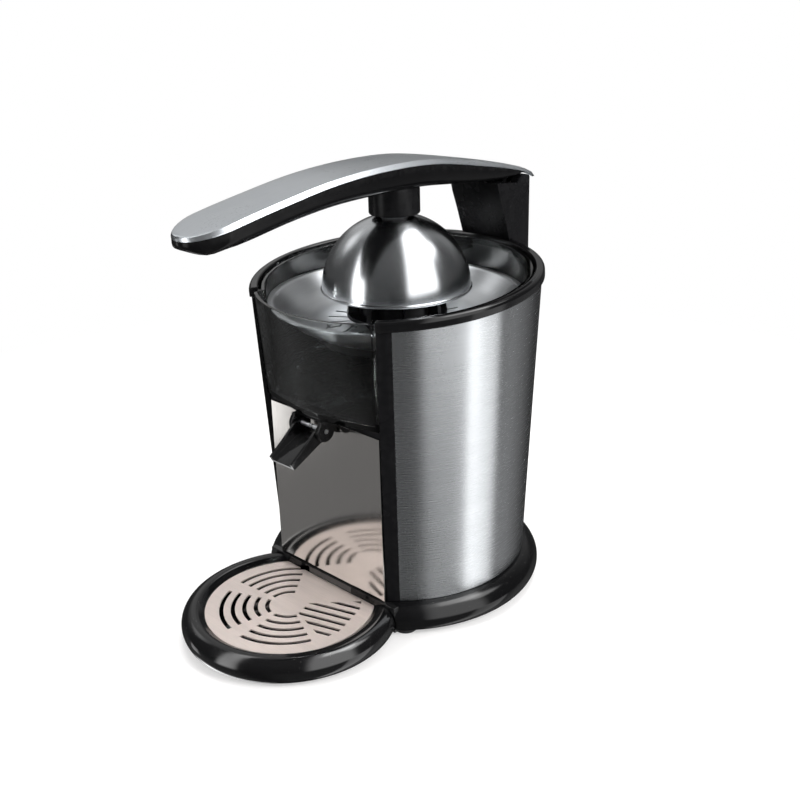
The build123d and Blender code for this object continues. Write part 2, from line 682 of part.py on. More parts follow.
def dome_liner():
    """Press cup inside the dome, with the stud that hangs from the lever."""
    cup = half_egg(LINER_R, LINER_H, DOME_Z + 1.0)
    cup -= half_egg(LINER_R - LINER_T, LINER_H - LINER_T, DOME_Z + 1.0)
    cup &= half_egg(LINER_R, LINER_H, DOME_Z)
    cup += cyl(9.0, DOME_Z + DOME_H - 6.0, DOME_PIN_Z + 5.0)
    return cup - bar_x(DOME_PIN_R + RUNNING, -20.0, 20.0, 0.0, DOME_PIN_Z)


def liner_ribs():
    """Ribs in the cup that grip the fruit."""
    inner = (LINER_R - LINER_T, LINER_H - LINER_T)
    layer = half_egg(*inner, DOME_Z + 1.0) - half_egg(inner[0] - RIB_H, inner[1] - RIB_H, DOME_Z + 1.0)
    layer &= block(-BIG, BIG, -BIG, BIG, DOME_Z + 5.0, DOME_Z + DOME_H)
    layer -= cyl(9.0, DOME_Z + DOME_H - 6.0, DOME_Z + DOME_H)
    blades = Part()
    for i in range(4):
        blades += Rot(0, 0, 22.5 + i * 45.0) * block(-60.0, 60.0, -1.0, 1.0, DOME_Z, DOME_Z + 60.0)
    return layer & blades


def dome_pin():
    return bar_x(DOME_PIN_R, -NECK_R + 0.4, NECK_R - 0.4, 0.0, DOME_PIN_Z)


# ---- lever ---------------------------------------------------------------------------------
CREST = [
    (LEVER_TIP_Y, 255.6), (-133.0, 261.3), (-100.0, 266.8), (-64.0, 271.6), (-25.0, 273.4),
    (16.0, 271.5), (62.0, 263.3), (97.0, 255.4), (LEVER_TAIL_Y, 249.6),
]
BELLY = [
    (107.5, 248.4), (92.0, 248.8), (75.0, 248.8), (55.0, 251.0), (32.0, 253.4), (0.0, 256.4),
    (-55.0, 257.0), (-92.0, 254.0), (-126.0, 248.9), (-138.0, 247.7), (-148.0, 245.4),
    (LEVER_TIP_Y, 246.2),
]


def lever_side():
    """Full side view of the arm, pulled across its width."""
    half = LEVER_W / 2
    crest = Spline(*[(-half, y, z) for y, z in CREST])
    tail = Line((-half, *CREST[-1]), (-half, *BELLY[0]))
    belly = Spline(*[(-half, y, z) for y, z in BELLY])
    tip = Line((-half, *BELLY[-1]), (-half, *CREST[0]))
    return extrude(make_face(crest + tail + belly + tip), amount=LEVER_W, dir=(1, 0, 0))


def above(line, shift):
    """Everything above one of the arm's long curves, moved up by shift."""
    half = LEVER_W / 2 + 1
    points = sorted(line)
    curve = Spline(*[(-half, y, z + shift) for y, z in points])
    roof = Polyline((-half, points[-1][0], points[-1][1] + shift), (-half, points[-1][0] + 30.0, 250.0),
                    (-half, points[-1][0] + 30.0, 330.0), (-half, points[0][0] - 30.0, 330.0),
                    (-half, points[0][0] - 30.0, 250.0), (-half, points[0][0], points[0][1] + shift))
    return extrude(make_face(curve + roof), amount=2 * half, dir=(1, 0, 0))


def lever_plan(inset):
    """Rounded outline of the arm from above."""
    half = LEVER_W / 2 - inset
    nose_y = LEVER_TIP_Y + NOSE_L
    nose = Pos(0, nose_y) * EllipticalCenterArc((0, 0), half, NOSE_L - inset, start_angle=180, arc_size=180)
    sides = Polyline((half, nose_y), (half, 20.0), (half - 1.4, LEVER_TAIL_Y - inset),
                     (-half + 1.4, LEVER_TAIL_Y - inset), (-half, 20.0), (-half, nose_y))
    return extrude(make_face(nose + sides), amount=BIG)


def hinge_zone(radius, half):
    return bar_x(radius, -half, half, HINGE_Y, HINGE_Z)


def lever_cover():
    """Satin metal skin over the whole length of the arm."""
    skin = lever_side() & lever_plan(0.0) & above(CREST, -COVER_T)
    hollow = (lever_plan(1.8) & above(CREST, -COVER_T - 0.5)) - above(CREST, -1.8)
    return skin - hollow - hinge_zone(11.4, LEVER_W)


def lever_shell():
    """Black lower half of the arm: hollow, with the hinge knuckle and dome boss."""
    half = LEVER_W / 2
    lower = (lever_side() & lever_plan(0.05)) - above(CREST, -COVER_T - 0.02)
    cavity = lever_plan(3.0) & above(BELLY, 3.2) & block(-BIG, BIG, -BIG, 78.0, 0.0, BIG)
    shell = lower - cavity
    shell += cyl(NECK_R - 0.5, 254.6, 262.0) - cyl(12.4, 250.0, 262.5)
    shell -= hinge_zone(HINGE_R + GAP + 0.1, half + 1)
    shell -= behind(HINGE_Y + 2.0)
    knuckle = hinge_zone(8.6, KNUCKLE_W / 2)
    web = block(-KNUCKLE_W / 2, KNUCKLE_W / 2, 90.0, 101.0, HINGE_Z + 2.0, 250.6)
    shell += knuckle + web
    for x, y in LEVER_SCREWS:
        shell += cyl(3.2, belly_z(y) + 1.0, belly_z(y) + 9.0, x, y)
        shell -= cyl(1.25, belly_z(y) - 4.0, belly_z(y) + 7.0, x, y)
        shell -= cyl(2.6, belly_z(y) - 6.0, belly_z(y) + 1.6, x, y)
    return shell - bar_x(4.6, -60.0, 60.0, HINGE_Y, HINGE_Z)


def belly_z(y):
    """Height of the arm's underside at y."""
    for (y1, z1), (y0, z0) in zip(BELLY, BELLY[1:]):
        if y0 <= y <= y1:
            return z0 + (z1 - z0) * (y - y0) / (y1 - y0)
    return BELLY[-1][1]


LEVER_SCREWS = [(0.0, -140.0), (0.0, -80.0), (0.0, 45.0)]


def lever_screws():
    parts = Part()
    for x, y in LEVER_SCREWS:
        z = belly_z(y)
        head = cyl(2.4, z - 0.2, z + 1.5, x, y)
        head -= block(x - 2.0, x + 2.0, y - 0.3, y + 0.3, z - 1.0, z + 0.3)
        parts += head + cyl(1.2, z + 1.5, z + 6.5, x, y)
    return parts


def lever_bush():
    """Bronze sleeve in the lever's knuckle."""
    return bar_x(4.6, -KNUCKLE_W / 2, KNUCKLE_W / 2, HINGE_Y, HINGE_Z) - bar_x(
        PIN_R + RUNNING, -KNUCKLE_W, KNUCKLE_W, HINGE_Y, HINGE_Z
    )


def hinge_pin():
    half = COLUMN_W / 2
    return bar_x(PIN_R, -half + 0.2, half - 0.2, HINGE_Y, HINGE_Z)


def neck():
    """Black collar under the arm that hides the dome's stud."""
    ring = tube(NECK_R, 12.4, NECK_Z, 254.4)
    ring += cyl(NECK_R, 254.4, 262.0) - cyl(12.4, 250.0, 263.0)
    ring -= cyl(NECK_R + 1, 254.6, 270.0)
    return ring - bar_x(DOME_PIN_R, -30.0, 30.0, 0.0, DOME_PIN_Z)


# ---- drip tray -----------------------------------------------------------------------------
def drip_tray():
    """Round tray with a bulged rim, cut flat where it meets the base."""
    outer = turned(
        [(0, TRAY_Z), (60.5, TRAY_Z), (64.3, 3.2), (66.0, 6.2), (TRAY_R, 9.0), (66.0, 11.8), (64.0, 15.0),
         (61.0, 17.0), (58.0, TRAY_RIM_Z), (55.5, 16.8), (GRID_R + 0.5, GRID_Z + 0.2), (0, GRID_Z + 0.2)]
    )
    tray = Pos(0, TRAY_Y, 0) * outer
    tray -= cyl(GRID_R + 0.5, GRID_Z - GRID_T, 40.0, 0.0, TRAY_Y)
    well = cyl(GRID_R - LEDGE_W, TRAY_Z + TRAY_T, 40.0, 0.0, TRAY_Y)
    tray -= well & block(-BIG, BIG, -BIG, WAIST_Y - TRAY_WALL, 0, 60)
    return tray - behind(WAIST_Y - GAP)


def drip_grid():
    """Steel grid with two families of slots: arcs in front, straight ones at the right."""
    plate = cyl(GRID_R, GRID_Z - GRID_T + 0.1, GRID_Z, 0.0, TRAY_Y)
    half = GRID_SLOT_W / 2
    for radius in GRID_ARCS:
        ring = tube(radius + half, radius - half, 0.0, 40.0, 0.0, TRAY_Y)
        for start in (-150.0, -75.0, 0.0):
            plate -= ring & (Pos(0, TRAY_Y, 0) * wedge(start + 6.0, start + 66.0, 90.0, 1.0, 30.0))
    for i in range(-3, 4):
        slot = block(10.0, 42.0, i * GRID_PITCH - half, i * GRID_PITCH + half, 0.0, 40.0)
        slot = Pos(0, TRAY_Y, 0) * Rot(0, 0, 18.0) * slot
        plate -= slot & (Pos(0, TRAY_Y, 0) * wedge(74.0, 136.0, 44.0, 1.0, 30.0))
    return plate - behind(WAIST_Y - GAP)


def tray_pads():
    parts = Part()
    for x, y in ((-44.0, -92.0), (44.0, -92.0), (-22.0, -150.0), (22.0, -150.0)):
        parts += cyl(4.5, 0.0, TRAY_Z, x, y)
    return parts


PIECES = {
    "base_shell": base_shell,
    "base_plate": base_plate,
    "base_screws": base_screws,
    "rubber_feet": rubber_feet,
    "chassis": chassis,
    "deck": deck,
    "steel_wrap": steel_wrap,
    "strip_right": lambda: strip(1),
    "strip_left": lambda: strip(-1),
    "front_panel": front_panel,
    "top_ring": top_ring,
    "rear_column": rear_column,
    "column_cover": column_cover,
    "column_screws": column_screws,
    "cord_gland": cord_gland,
    "juice_bowl": juice_bowl,
    "bowl_seal": bowl_seal,
    "strainer_dish": strainer_dish,
    "strainer_plate": strainer_plate,
    "strainer_ring": strainer_ring,
    "spout_body": spout_body,
    "spout_flap": spout_flap,
    "spout_pin": spout_pin,
    "gear_plate": gear_plate,
    "gearbox_cover": gearbox_cover,
    "gearbox_screws": gearbox_screws,
    "motor": motor,
    "motor_pinion": motor_pinion,
    "idler_gear": idler_gear,
    "idler_pin": idler_pin,
    "output_gear": output_gear,
    "lower_bush": lower_bush,
    "upper_bush": upper_bush,
    "drive_shaft": drive_shaft,
    "shaft_spring": shaft_spring,
    "switch_body": switch_body,
    "switch_plunger": switch_plunger,
    "reamer_cone": cone,
    "press_dome": press_dome,
    "dome_liner": dome_liner,
    "liner_ribs": liner_ribs,
    "dome_pin": dome_pin,
    "neck_collar": neck,
    "lever_cover": lever_cover,
    "lever_shell": lever_shell,
    "lever_screws": lever_screws,
    "lever_bush": lever_bush,
    "hinge_pin": hinge_pin,
    "drip_tray": drip_tray,
    "drip_grid": drip_grid,
    "tray_pads": tray_pads,
}

os.makedirs("parts", exist_ok=True)
for node, build in PIECES.items():
    save(node, build())
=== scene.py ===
"""Lever citrus press: models the pieces that show, gives every piece its finish and sets the stage.

The object's sizes are in millimetres about the reamer's axis, with Z up from the table, -Y towards
the user and +X to the machine's right. at() turns such a point into the frame's metres.
"""

import json
import math

import bpy
from mathutils import Matrix, Vector


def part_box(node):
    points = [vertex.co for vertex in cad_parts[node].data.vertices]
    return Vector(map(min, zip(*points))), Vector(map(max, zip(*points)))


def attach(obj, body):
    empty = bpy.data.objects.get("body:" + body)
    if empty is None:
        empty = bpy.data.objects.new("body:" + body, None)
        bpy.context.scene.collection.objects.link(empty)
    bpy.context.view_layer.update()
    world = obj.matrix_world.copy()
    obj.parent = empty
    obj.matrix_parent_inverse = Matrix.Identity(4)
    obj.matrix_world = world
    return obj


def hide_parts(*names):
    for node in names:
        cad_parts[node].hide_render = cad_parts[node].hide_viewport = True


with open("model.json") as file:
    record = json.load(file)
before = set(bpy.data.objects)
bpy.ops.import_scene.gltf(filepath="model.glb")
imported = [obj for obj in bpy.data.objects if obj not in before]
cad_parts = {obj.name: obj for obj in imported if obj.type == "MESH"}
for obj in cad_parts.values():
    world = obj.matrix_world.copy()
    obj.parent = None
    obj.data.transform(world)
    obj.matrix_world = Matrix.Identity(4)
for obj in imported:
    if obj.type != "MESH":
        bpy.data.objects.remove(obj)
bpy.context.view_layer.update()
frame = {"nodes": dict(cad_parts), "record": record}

bl_info = {
    "name": "Lever citrus press",
    "version": (1, 0, 0),
    "blender": (4, 5, 0),
    "location": "View3D > Sidebar > Press",
    "description": "Models and finishes a motor-driven citrus press with a long hinged lever",
    "category": "Object",
}

MM = 0.001
CONE_LOW, CONE_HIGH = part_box("reamer_cone")
AXIS_Y = (CONE_LOW.y + CONE_HIGH.y) / 2
RIM_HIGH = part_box("top_ring")[1]
COVER_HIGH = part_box("lever_cover")[1]
DOME_LOW, DOME_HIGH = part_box("press_dome")

# Housing. The rim and the wrap start at these angles on both sides of straight ahead.
RIM_START, WRAP_START = 36.6, 42.3
RIM_Z = 204.3                # height of the tilted rim's top, taken at the axis
WRAP_FOOT, WRAP_HEAD = (79.5, 19.4), (88.6, 204.3)    # radius and height
WRAP_T = 0.8
COLLAR_LOW = 186.0           # lower end of the rim's collar
GROOVE = 5.2                 # depth below the rim's top at which the wrap ends
DISH_T = 0.9
DOME_T = 1.2

# Base and tray
BASE_LOW, BASE_TOP = 2.1, 19.3
BASE_BORE = 70.2             # inner radius
BASE_FRONT = -67.5           # flat front of the base
FRONT_HALF, FRONT_T = 57.0, 4.0    # half width and thickness of the panel there
TRAY_BACK = -67.8            # flat back of the tray
TRAY_Y = -101.0              # middle of the tray
TRAY_LOW, TRAY_FLOOR, GRID_LEDGE = 1.5, 3.7, 13.5

# Lever. Its crest and its belly are lines of y and z through these points.
HINGE = (100.0, 240.5)       # y and z
HINGE_GAP_R = 9.7            # radius kept free round the hinge
KNUCKLE_BORE, KNUCKLE_R, KNUCKLE_HALF = 4.6, 8.6, 10.0
NOSE_L = 24.0                # length of the arm's rounded end
NOSE_TURNS = (0, 10, 20, 30, 40, 49, 57, 64, 70, 75, 79, 83, 86, 88, 89.4)    # its sections, by angle
ARM_START, ARM_STEP, ARM_STEPS = 88.0, 6.0, 36        # y, spacing and number of its plain sections
TAPER_START, TAPER = 20.0, 1.4    # y from which each side narrows, and by how much at the tail
CROWN_HALF, CROWN = 0.84, 0.20    # the skin's rounded top, as parts of its half width and height
SKIN_T = 1.4
CREST = (
    (-156.0, 255.6), (-133.0, 261.3), (-100.0, 266.8), (-64.0, 271.6), (-25.0, 273.4),
    (16.0, 271.5), (62.0, 263.3), (97.0, 255.4), (112.0, 249.6),
)
BELLY = (
    (-156.0, 246.2), (-148.0, 245.4), (-138.0, 247.7), (-126.0, 248.9), (-92.0, 254.0),
    (-55.0, 257.0), (0.0, 256.4), (32.0, 253.4), (55.0, 251.0), (75.0, 248.8), (92.0, 248.8),
    (107.5, 248.4),
)

# Stage, in metres and degrees
CAMERA = {
    "place": (0.4594, -0.44025, 0.3861),
    "target": (-0.00366, 0.02410, 0.11775),
    "roll": -1.72,
    "focus": 1107.73,        # focal length in pixels
    "centre": (391.52, 401.63),
}
PICTURE = 800.0              # width and height of the render in pixels
SENSOR = 36.0                # millimetres
WHITE = (1.0, 1.0, 1.0, 1.0)
FLOOR_SIZE = 12.0
FLOOR_FADE = (0.28, 0.62)    # distances from the origin between which the floor turns white
FLOOR_LIFT = 0.36            # glow of the floor near the object
FILL = 0.45                  # strength of the even light from all sides
LIT_POINT = (0.0, 0.03, 0.14)
SOFTBOXES = (                # place, width, height and watts; all are turned to the lit point
    ("side_box", (0.86, 0.12, 0.42), 0.34, 0.95, 11.0),
    ("front_box", (-0.20, -0.86, 0.40), 0.16, 0.80, 5.0),
    ("top_box", (-0.15, 0.25, 1.05), 0.7, 0.7, 9.0),
)
TENT_R, TENT_Z = 2.4, 0.12   # radius, and height of its middle
TENT_GLOW = (-10.0, 60.0, 0.05, 0.16)    # two angles above the table, and the cloth's glow at each

# Pale cards on the dark tent: middle, half width and softness round the object, lowest angle,
# highest angle and softness above the table, strength. Round is from straight ahead to the right.
CARDS = (
    (116.5, 14.5, 1.5, -80.0, -8.0, 2.0, 1.75),
    (98.0, 5.0, 20.0, -80.0, -8.0, 2.0, 0.16),
    (60.0, 30.0, 10.0, -80.0, -8.0, 3.0, 0.10),
    (146.0, 14.0, 26.0, -80.0, -8.0, 2.0, 0.46),
    (-84.0, 16.0, 6.0, -74.0, -46.0, 4.0, 4.0),
    (-40.0, 34.0, 12.0, -70.0, -8.0, 4.0, 0.14),
    (-56.5, 5.9, 0.6, -24.2, -8.0, 0.6, 1.7),
    (-135.0, 50.0, 16.0, 15.0, 66.0, 5.0, 0.31),
    (137.0, 15.0, 4.0, 43.0, 62.0, 3.0, 6.0),
    (-86.0, 11.0, 4.0, 28.0, 42.0, 4.0, 1.3),
)

# Bent cards that show as upright bands in rounded metal. The numbers are the same, but they are
# the directions in which metal faces where it mirrors the card to the camera.
BANDS = (
    (66.5, 12.5, 2.0, 8.0, 74.0, 3.0, 3.0),
    (13.5, 5.0, 1.5, 6.0, 66.0, 4.0, 4.6),
    (70.0, 10.0, 1.0, 48.0, 62.0, 2.0, 7.0),
    (0.0, 60.0, 10.0, 60.0, 86.0, 2.5, 0.24),
)


# ---- sizes and colours that a user would change --------------------------------------------
def measure(name, words, value):
    return bpy.props.FloatProperty(name=name, description=words, default=value, unit="LENGTH")


class PressSizes(bpy.types.PropertyGroup):
    rim_radius: measure("Rim radius", "Outer radius of the black rim", RIM_HIGH.x)
    rim_tilt: bpy.props.FloatProperty(
        name="Rim tilt", description="Angle by which the rim rises to the rear",
        default=math.radians(3.6), unit="ROTATION",
    )
    lever_half: measure("Lever half width", "Half the width of the arm", COVER_HIGH.x)
    dome_radius: measure("Dome radius", "Radius of the dome above its rolled edge", DOME_HIGH.x - 0.6 * MM)
    tray_radius: measure("Tray radius", "Outer radius of the drip tray", 66.5 * MM)
    turn_steps: bpy.props.IntProperty(
        name="Turning steps", description="Faces in a full turn of a turned piece", default=192
    )


def tint(name, words, value):
    return bpy.props.FloatVectorProperty(
        name=name, description=words, subtype="COLOR", size=3, min=0.0, max=1.0, default=value
    )


class PressColours(bpy.types.PropertyGroup):
    steel: tint("Brushed steel", "Wrap, dome and dish", (0.50, 0.515, 0.53))
    grid: tint("Grid steel", "Grid of the drip tray", (0.90, 0.80, 0.75))
    polished: tint("Polished steel", "Panel behind the glass", (0.62, 0.60, 0.58))
    satin: tint("Satin metal", "Top of the lever", (0.52, 0.545, 0.57))
    gloss: tint("Gloss black", "Rim, base, tray and the arm's body", (0.0035, 0.0035, 0.0038))
    black: tint("Moulded black", "Column, strips and carrier", (0.0045, 0.0045, 0.005))
    clear: tint("Clear plastic", "Juice bowl", (0.84, 0.86, 0.86))
    rubber: tint("Rubber", "Feet, seal and gland", (0.020, 0.020, 0.021))
    nylon: tint("Nylon", "Gears", (0.72, 0.69, 0.60))
    grey: tint("Grey plastic", "Dome liner and gearbox", (0.16, 0.165, 0.17))
    floor: tint("Floor", "Table top", (0.72, 0.71, 0.705))


# ---- modelling helpers ---------------------------------------------------------------------
def at(x, y, z):
    """A point in millimetres about the reamer's axis, as metres in the frame."""
    return Vector((x * MM, AXIS_Y + y * MM, z * MM))


def leave():
    """Back to object mode."""
    if bpy.context.object and bpy.context.object.mode == "EDIT":
        bpy.ops.object.mode_set(mode="OBJECT")


def choose_none():
    leave()
    bpy.ops.object.select_all(action="DESELECT")


def choose(piece):
    """Selects one piece alone, in object mode."""
    choose_none()
    piece.select_set(True)
    bpy.context.view_layer.objects.active = piece


def edit(piece):
    """Edit mode, with the whole of one piece selected."""
    choose(piece)
    bpy.ops.object.mode_set(mode="EDIT")
    bpy.ops.mesh.select_all(action="SELECT")


def begin(name):
    """A new piece in edit mode: one point at the origin."""
    choose_none()
    bpy.ops.mesh.primitive_circle_add(vertices=3, radius=MM)
    piece = bpy.context.object
    piece.name = piece.data.name = name
    edit(piece)
    bpy.ops.mesh.merge(type="CENTER")
    return piece


def pull(points, closed=False):
    """Extrudes the one point along a line of points, back to its start if closed."""
    bpy.ops.transform.translate(value=points[0])
    route = points + points[:1] if closed else points
    for a, b in zip(route, route[1:]):
        bpy.ops.mesh.extrude_region_move(TRANSFORM_OT_translate={"value": b - a})
    bpy.ops.mesh.select_all(action="SELECT")
    if closed:
        bpy.ops.mesh.remove_doubles(threshold=1e-6)


def tidy_up(fill=False):
    """Merges doubles, closes open ends and turns the faces outwards."""
    bpy.ops.mesh.select_all(action="SELECT")
    bpy.ops.mesh.remove_doubles(threshold=2e-6)
    if fill:
        bpy.ops.mesh.fill_holes(sides=0)
    bpy.ops.mesh.select_all(action="SELECT")
    bpy.ops.mesh.normals_make_consistent(inside=False)


def turned(name, outline, start=0.0, sweep=360.0, closed=False, centre=(0.0, 0.0), steps=None):
    """Spins a (radius, height) outline from start degrees, measured from straight ahead to the right."""
    piece = begin(name)
    a = math.radians(start)
    x, y = centre
    pull([at(x + r * math.sin(a), y - r * math.cos(a), z) for r, z in outline], closed)
    steps = steps or max(8, round(bpy.context.scene.press_sizes.turn_steps * sweep / 360.0))
    bpy.ops.mesh.spin(steps=steps, angle=-math.radians(sweep), center=at(x, y, 0), axis=(0, 0, 1))
    tidy_up(fill=closed and sweep < 360.0)
    return piece


def drawn_out(name, section, stations, closed=False):
    """Extrudes a section along the arm. A station is y and z of the section's foot, half width, height."""
    piece = begin(name)
    y, z, w, h = stations[0]
    pull([at(x * w, y, z + s * h) for x, s in section], closed)
    for (y0, z0, w0, h0), (y1, z1, w1, h1) in zip(stations, stations[1:]):
        step = at(0, y1, z1) - at(0, y0, z0)
        bpy.ops.mesh.extrude_region_move(TRANSFORM_OT_translate={"value": step})
        bpy.ops.transform.resize(value=(w1 / w0, 1, h1 / h0), center_override=at(0, y1, z1))
    tidy_up(fill=closed)
    return piece


def plate(name, outline, depth):
    """A flat outline of points, extruded by a depth in metres."""
    piece = begin(name)
    pull(outline, closed=True)
    bpy.ops.mesh.edge_face_add()
    bpy.ops.mesh.extrude_region_move(TRANSFORM_OT_translate={"value": depth})
    tidy_up()
    return piece


def cut(point, normal, fill=True):
    """Cuts away what lies on the side that normal points to, in edit mode."""
    bpy.ops.mesh.select_all(action="SELECT")
    bpy.ops.mesh.bisect(plane_co=point, plane_no=normal, clear_outer=True, use_fill=fill)


def apply(piece, kind, **values):
    """Adds a modifier, sets it and applies it."""
    choose(piece)
    modifier = piece.modifiers.new(kind.title(), kind)
    for key, value in values.items():
        setattr(modifier, key, value)
    bpy.ops.object.modifier_apply(modifier=modifier.name)


def soften(piece, width, segments=3, angle=35.0):
    """Rounds the sharp edges."""
    apply(
        piece, "BEVEL", width=width * MM, segments=segments, limit_method="ANGLE",
        angle_limit=math.radians(angle), miter_outer="MITER_ARC",
    )


def arc(cx, cz, r, a0, a1, steps):
    """Points on an arc; angles in degrees from +X (outwards) towards +Z."""
    angles = [math.radians(a0 + (a1 - a0) * i / steps) for i in range(steps + 1)]
    return [(cx + r * math.cos(a), cz + r * math.sin(a)) for a in angles]


def both_sides(right, *middle):
    """A section from its right half, its mirror image and any points on the line between them."""
    return [*right, *middle, *[(-x, z) for x, z in reversed(right)]]


def smooth(points, steps):
    """A smooth curve (Catmull-Rom) through the points, with steps to each span."""
    def between(p, q, r, s, t):
        """Value at t of the way from q to r, with p and s as their neighbours."""
        bend, twist = 2 * p - 5 * q + 4 * r - s, 3 * q - p - 3 * r + s
        return 0.5 * (2 * q + (r - p) * t + bend * t**2 + twist * t**3)

    padded = [points[0], *points, points[-1]]
    made = []
    for around in zip(padded, padded[1:], padded[2:], padded[3:]):
        for i in range(steps):
            made.append(tuple(between(*axis, i / steps) for axis in zip(*around)))
    return [*made, tuple(points[-1])]


def height_on(line, y):
    """Height at y of one of the arm's long curves."""
    for (y0, z0), (y1, z1) in zip(line, line[1:]):
        if y <= y1 or (y1, z1) == line[-1]:
            return z0 + (z1 - z0) * min(1.0, max(0.0, (y - y0) / (y1 - y0)))
    return line[-1][1]


def round_map(piece):
    """UV map of a turned piece: U runs round the reamer's axis, V along the outline."""
    layer = piece.data.uv_layers.new(name="Round")
    tiles = 4.0
    for face in piece.data.polygons:
        corners = []
        for loop in face.loop_indices:
            p = piece.data.vertices[piece.data.loops[loop].vertex_index].co
            corners.append((loop, math.atan2(p.y - AXIS_Y, p.x) / math.tau, p))
        highest = max(turn for _, turn, _ in corners)
        for loop, turn, p in corners:
            u = turn + 1.0 if highest - turn > 0.5 else turn
            layer.data[loop].uv = (u + 0.5, (p.z + math.hypot(p.x, p.y - AXIS_Y)) * tiles)


def hand_over(piece, body, slot, finish, *nodes, angle=35.0):
    """Smooths a finished piece, gives it its finish and puts it in the nodes' place."""
    choose(piece)
    bpy.ops.object.shade_smooth_by_angle(angle=math.radians(angle))
    apply(piece, "WEIGHTED_NORMAL", keep_sharp=True, weight=80)
    piece.data.materials.clear()
    piece.data.materials.append(bpy.data.materials[finish])
    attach(piece, body)
    if nodes:
        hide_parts(*nodes)


def recut(name, node, width, segments=2, angle=35.0):
    """A welded copy of a CAD node with its edges eased."""
    choose(frame["nodes"][node])
    bpy.ops.object.duplicate()
    piece = bpy.context.object
    piece.name = piece.data.name = name
    for key in [k for k in piece.keys() if k.startswith("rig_")]:
        del piece[key]
    piece.parent = None
    piece.matrix_world = Matrix.Identity(4)
    edit(piece)
    bpy.ops.mesh.customdata_custom_splitnormals_clear()
    bpy.ops.mesh.remove_doubles(threshold=2e-6)
    bpy.ops.mesh.dissolve_limited(angle_limit=math.radians(0.4))
    leave()
    soften(piece, width, segments, angle)
    return piece


# ---- shader helpers ------------------------------------------------------------------------
def link(tree, a, b):
    tree.links.new(a, b)


def feed(tree, socket, value):
    """Gives a socket a value, or a link from another socket."""
    if isinstance(value, bpy.types.NodeSocket):
        link(tree, value, socket)
    else:
        socket.default_value = value


def put(tree, kind, inputs=None, **settings):
    """Adds a node; an input is a value or another node's socket."""
    node = tree.nodes.new(kind)
    for key, value in settings.items():
        setattr(node, key, value)
    for key, value in (inputs or {}).items():
        feed(tree, node.inputs[key], value)
    return node


def maths(tree, operation, a, b=0.0, c=0.0):
    return put(tree, "ShaderNodeMath", {0: a, 1: b, 2: c}, operation=operation).outputs[0]


def times(tree, a, b):
    return maths(tree, "MULTIPLY", a, b)


def plus(tree, a, b):
    return maths(tree, "ADD", a, b)


def spread(tree, value, low, high, to_low=0.0, to_high=1.0):
    """Maps a range of values onto another, clamped."""
    return put(tree, "ShaderNodeMapRange", {
        "Value": value, "From Min": low, "From Max": high, "To Min": to_low, "To Max": to_high,
    }).outputs[0]


def blend_colour(tree, factor, a, b):
    """Mixes two colours; 6, 7 and 2 are the colour sockets of a Mix node."""
    return put(tree, "ShaderNodeMix", {0: factor, 6: a, 7: b}, data_type="RGBA").outputs[2]


def blend_shader(tree, factor, a, b):
    return put(tree, "ShaderNodeMixShader", {0: factor, 1: a, 2: b}).outputs[0]


def glowing(tree, strength):
    return put(tree, "ShaderNodeEmission", {"Strength": strength}).outputs[0]


def noise(tree, vector, scale, detail=3.0, rough=0.55):
    return put(tree, "ShaderNodeTexNoise", {
        "Vector": vector, "Scale": scale, "Detail": detail, "Roughness": rough,
    }).outputs[0]


def stretched(tree, vector, by):
    """Multiplies each axis of a vector by its own number."""
    return put(tree, "ShaderNodeVectorMath", {0: vector, 1: by}, operation="MULTIPLY").outputs[0]


def length(tree, vector):
    """Length of a vector."""
    return put(tree, "ShaderNodeVectorMath", {0: vector}, operation="LENGTH").outputs["Value"]


def new_group(name, inputs, outputs):
    """A shader node group; returns its tree, its given values and what it puts out."""
    tree = bpy.data.node_groups.new(name, "ShaderNodeTree")
    for label, kind, value in inputs:
        socket = tree.interface.new_socket(name=label, in_out="INPUT", socket_type=kind)
        if value is not None:
            socket.default_value = value
    for label, kind in outputs:
        tree.interface.new_socket(name=label, in_out="OUTPUT", socket_type=kind)
    return tree, tree.nodes.new("NodeGroupInput").outputs, tree.nodes.new("NodeGroupOutput").inputs


FLOAT, VECTOR = "NodeSocketFloat", "NodeSocketVector"
BRUSH_LINES = 2600.0         # brushed lines to a metre, at fineness 1


def group_round_brush():
    """Fine lines that run round an upright axis, as a turned or rolled sheet is brushed."""
    tree, given, out = new_group("round_brush", [
        ("Position", VECTOR, None), ("Fineness", FLOAT, 1.0),
    ], [("Lines", FLOAT), ("Bands", FLOAT)])
    split = put(tree, "ShaderNodeSeparateXYZ", {0: given["Position"]}).outputs
    y = maths(tree, "SUBTRACT", split[1], AXIS_Y)
    radius = maths(tree, "SQRT", plus(tree, times(tree, y, y), times(tree, split[0], split[0])))
    # This only rises on the way up the wrap and dome, and only falls on the way out over the dish.
    outline = maths(tree, "SUBTRACT", split[2], times(tree, radius, 2.3))
    lines_across = times(tree, given["Fineness"], BRUSH_LINES)
    for turns, across, detail, label in ((3.0, lines_across, 4.0, "Lines"), (1.6, 130.0, 3.0, "Bands")):
        grain = put(tree, "ShaderNodeCombineXYZ", {
            0: times(tree, maths(tree, "DIVIDE", split[0], radius), turns),
            1: times(tree, maths(tree, "DIVIDE", y, radius), turns),
            2: times(tree, outline, across),
        }).outputs[0]
        link(tree, spread(tree, noise(tree, grain, 1.0, detail, 0.65), 0.34, 0.66), out[label])


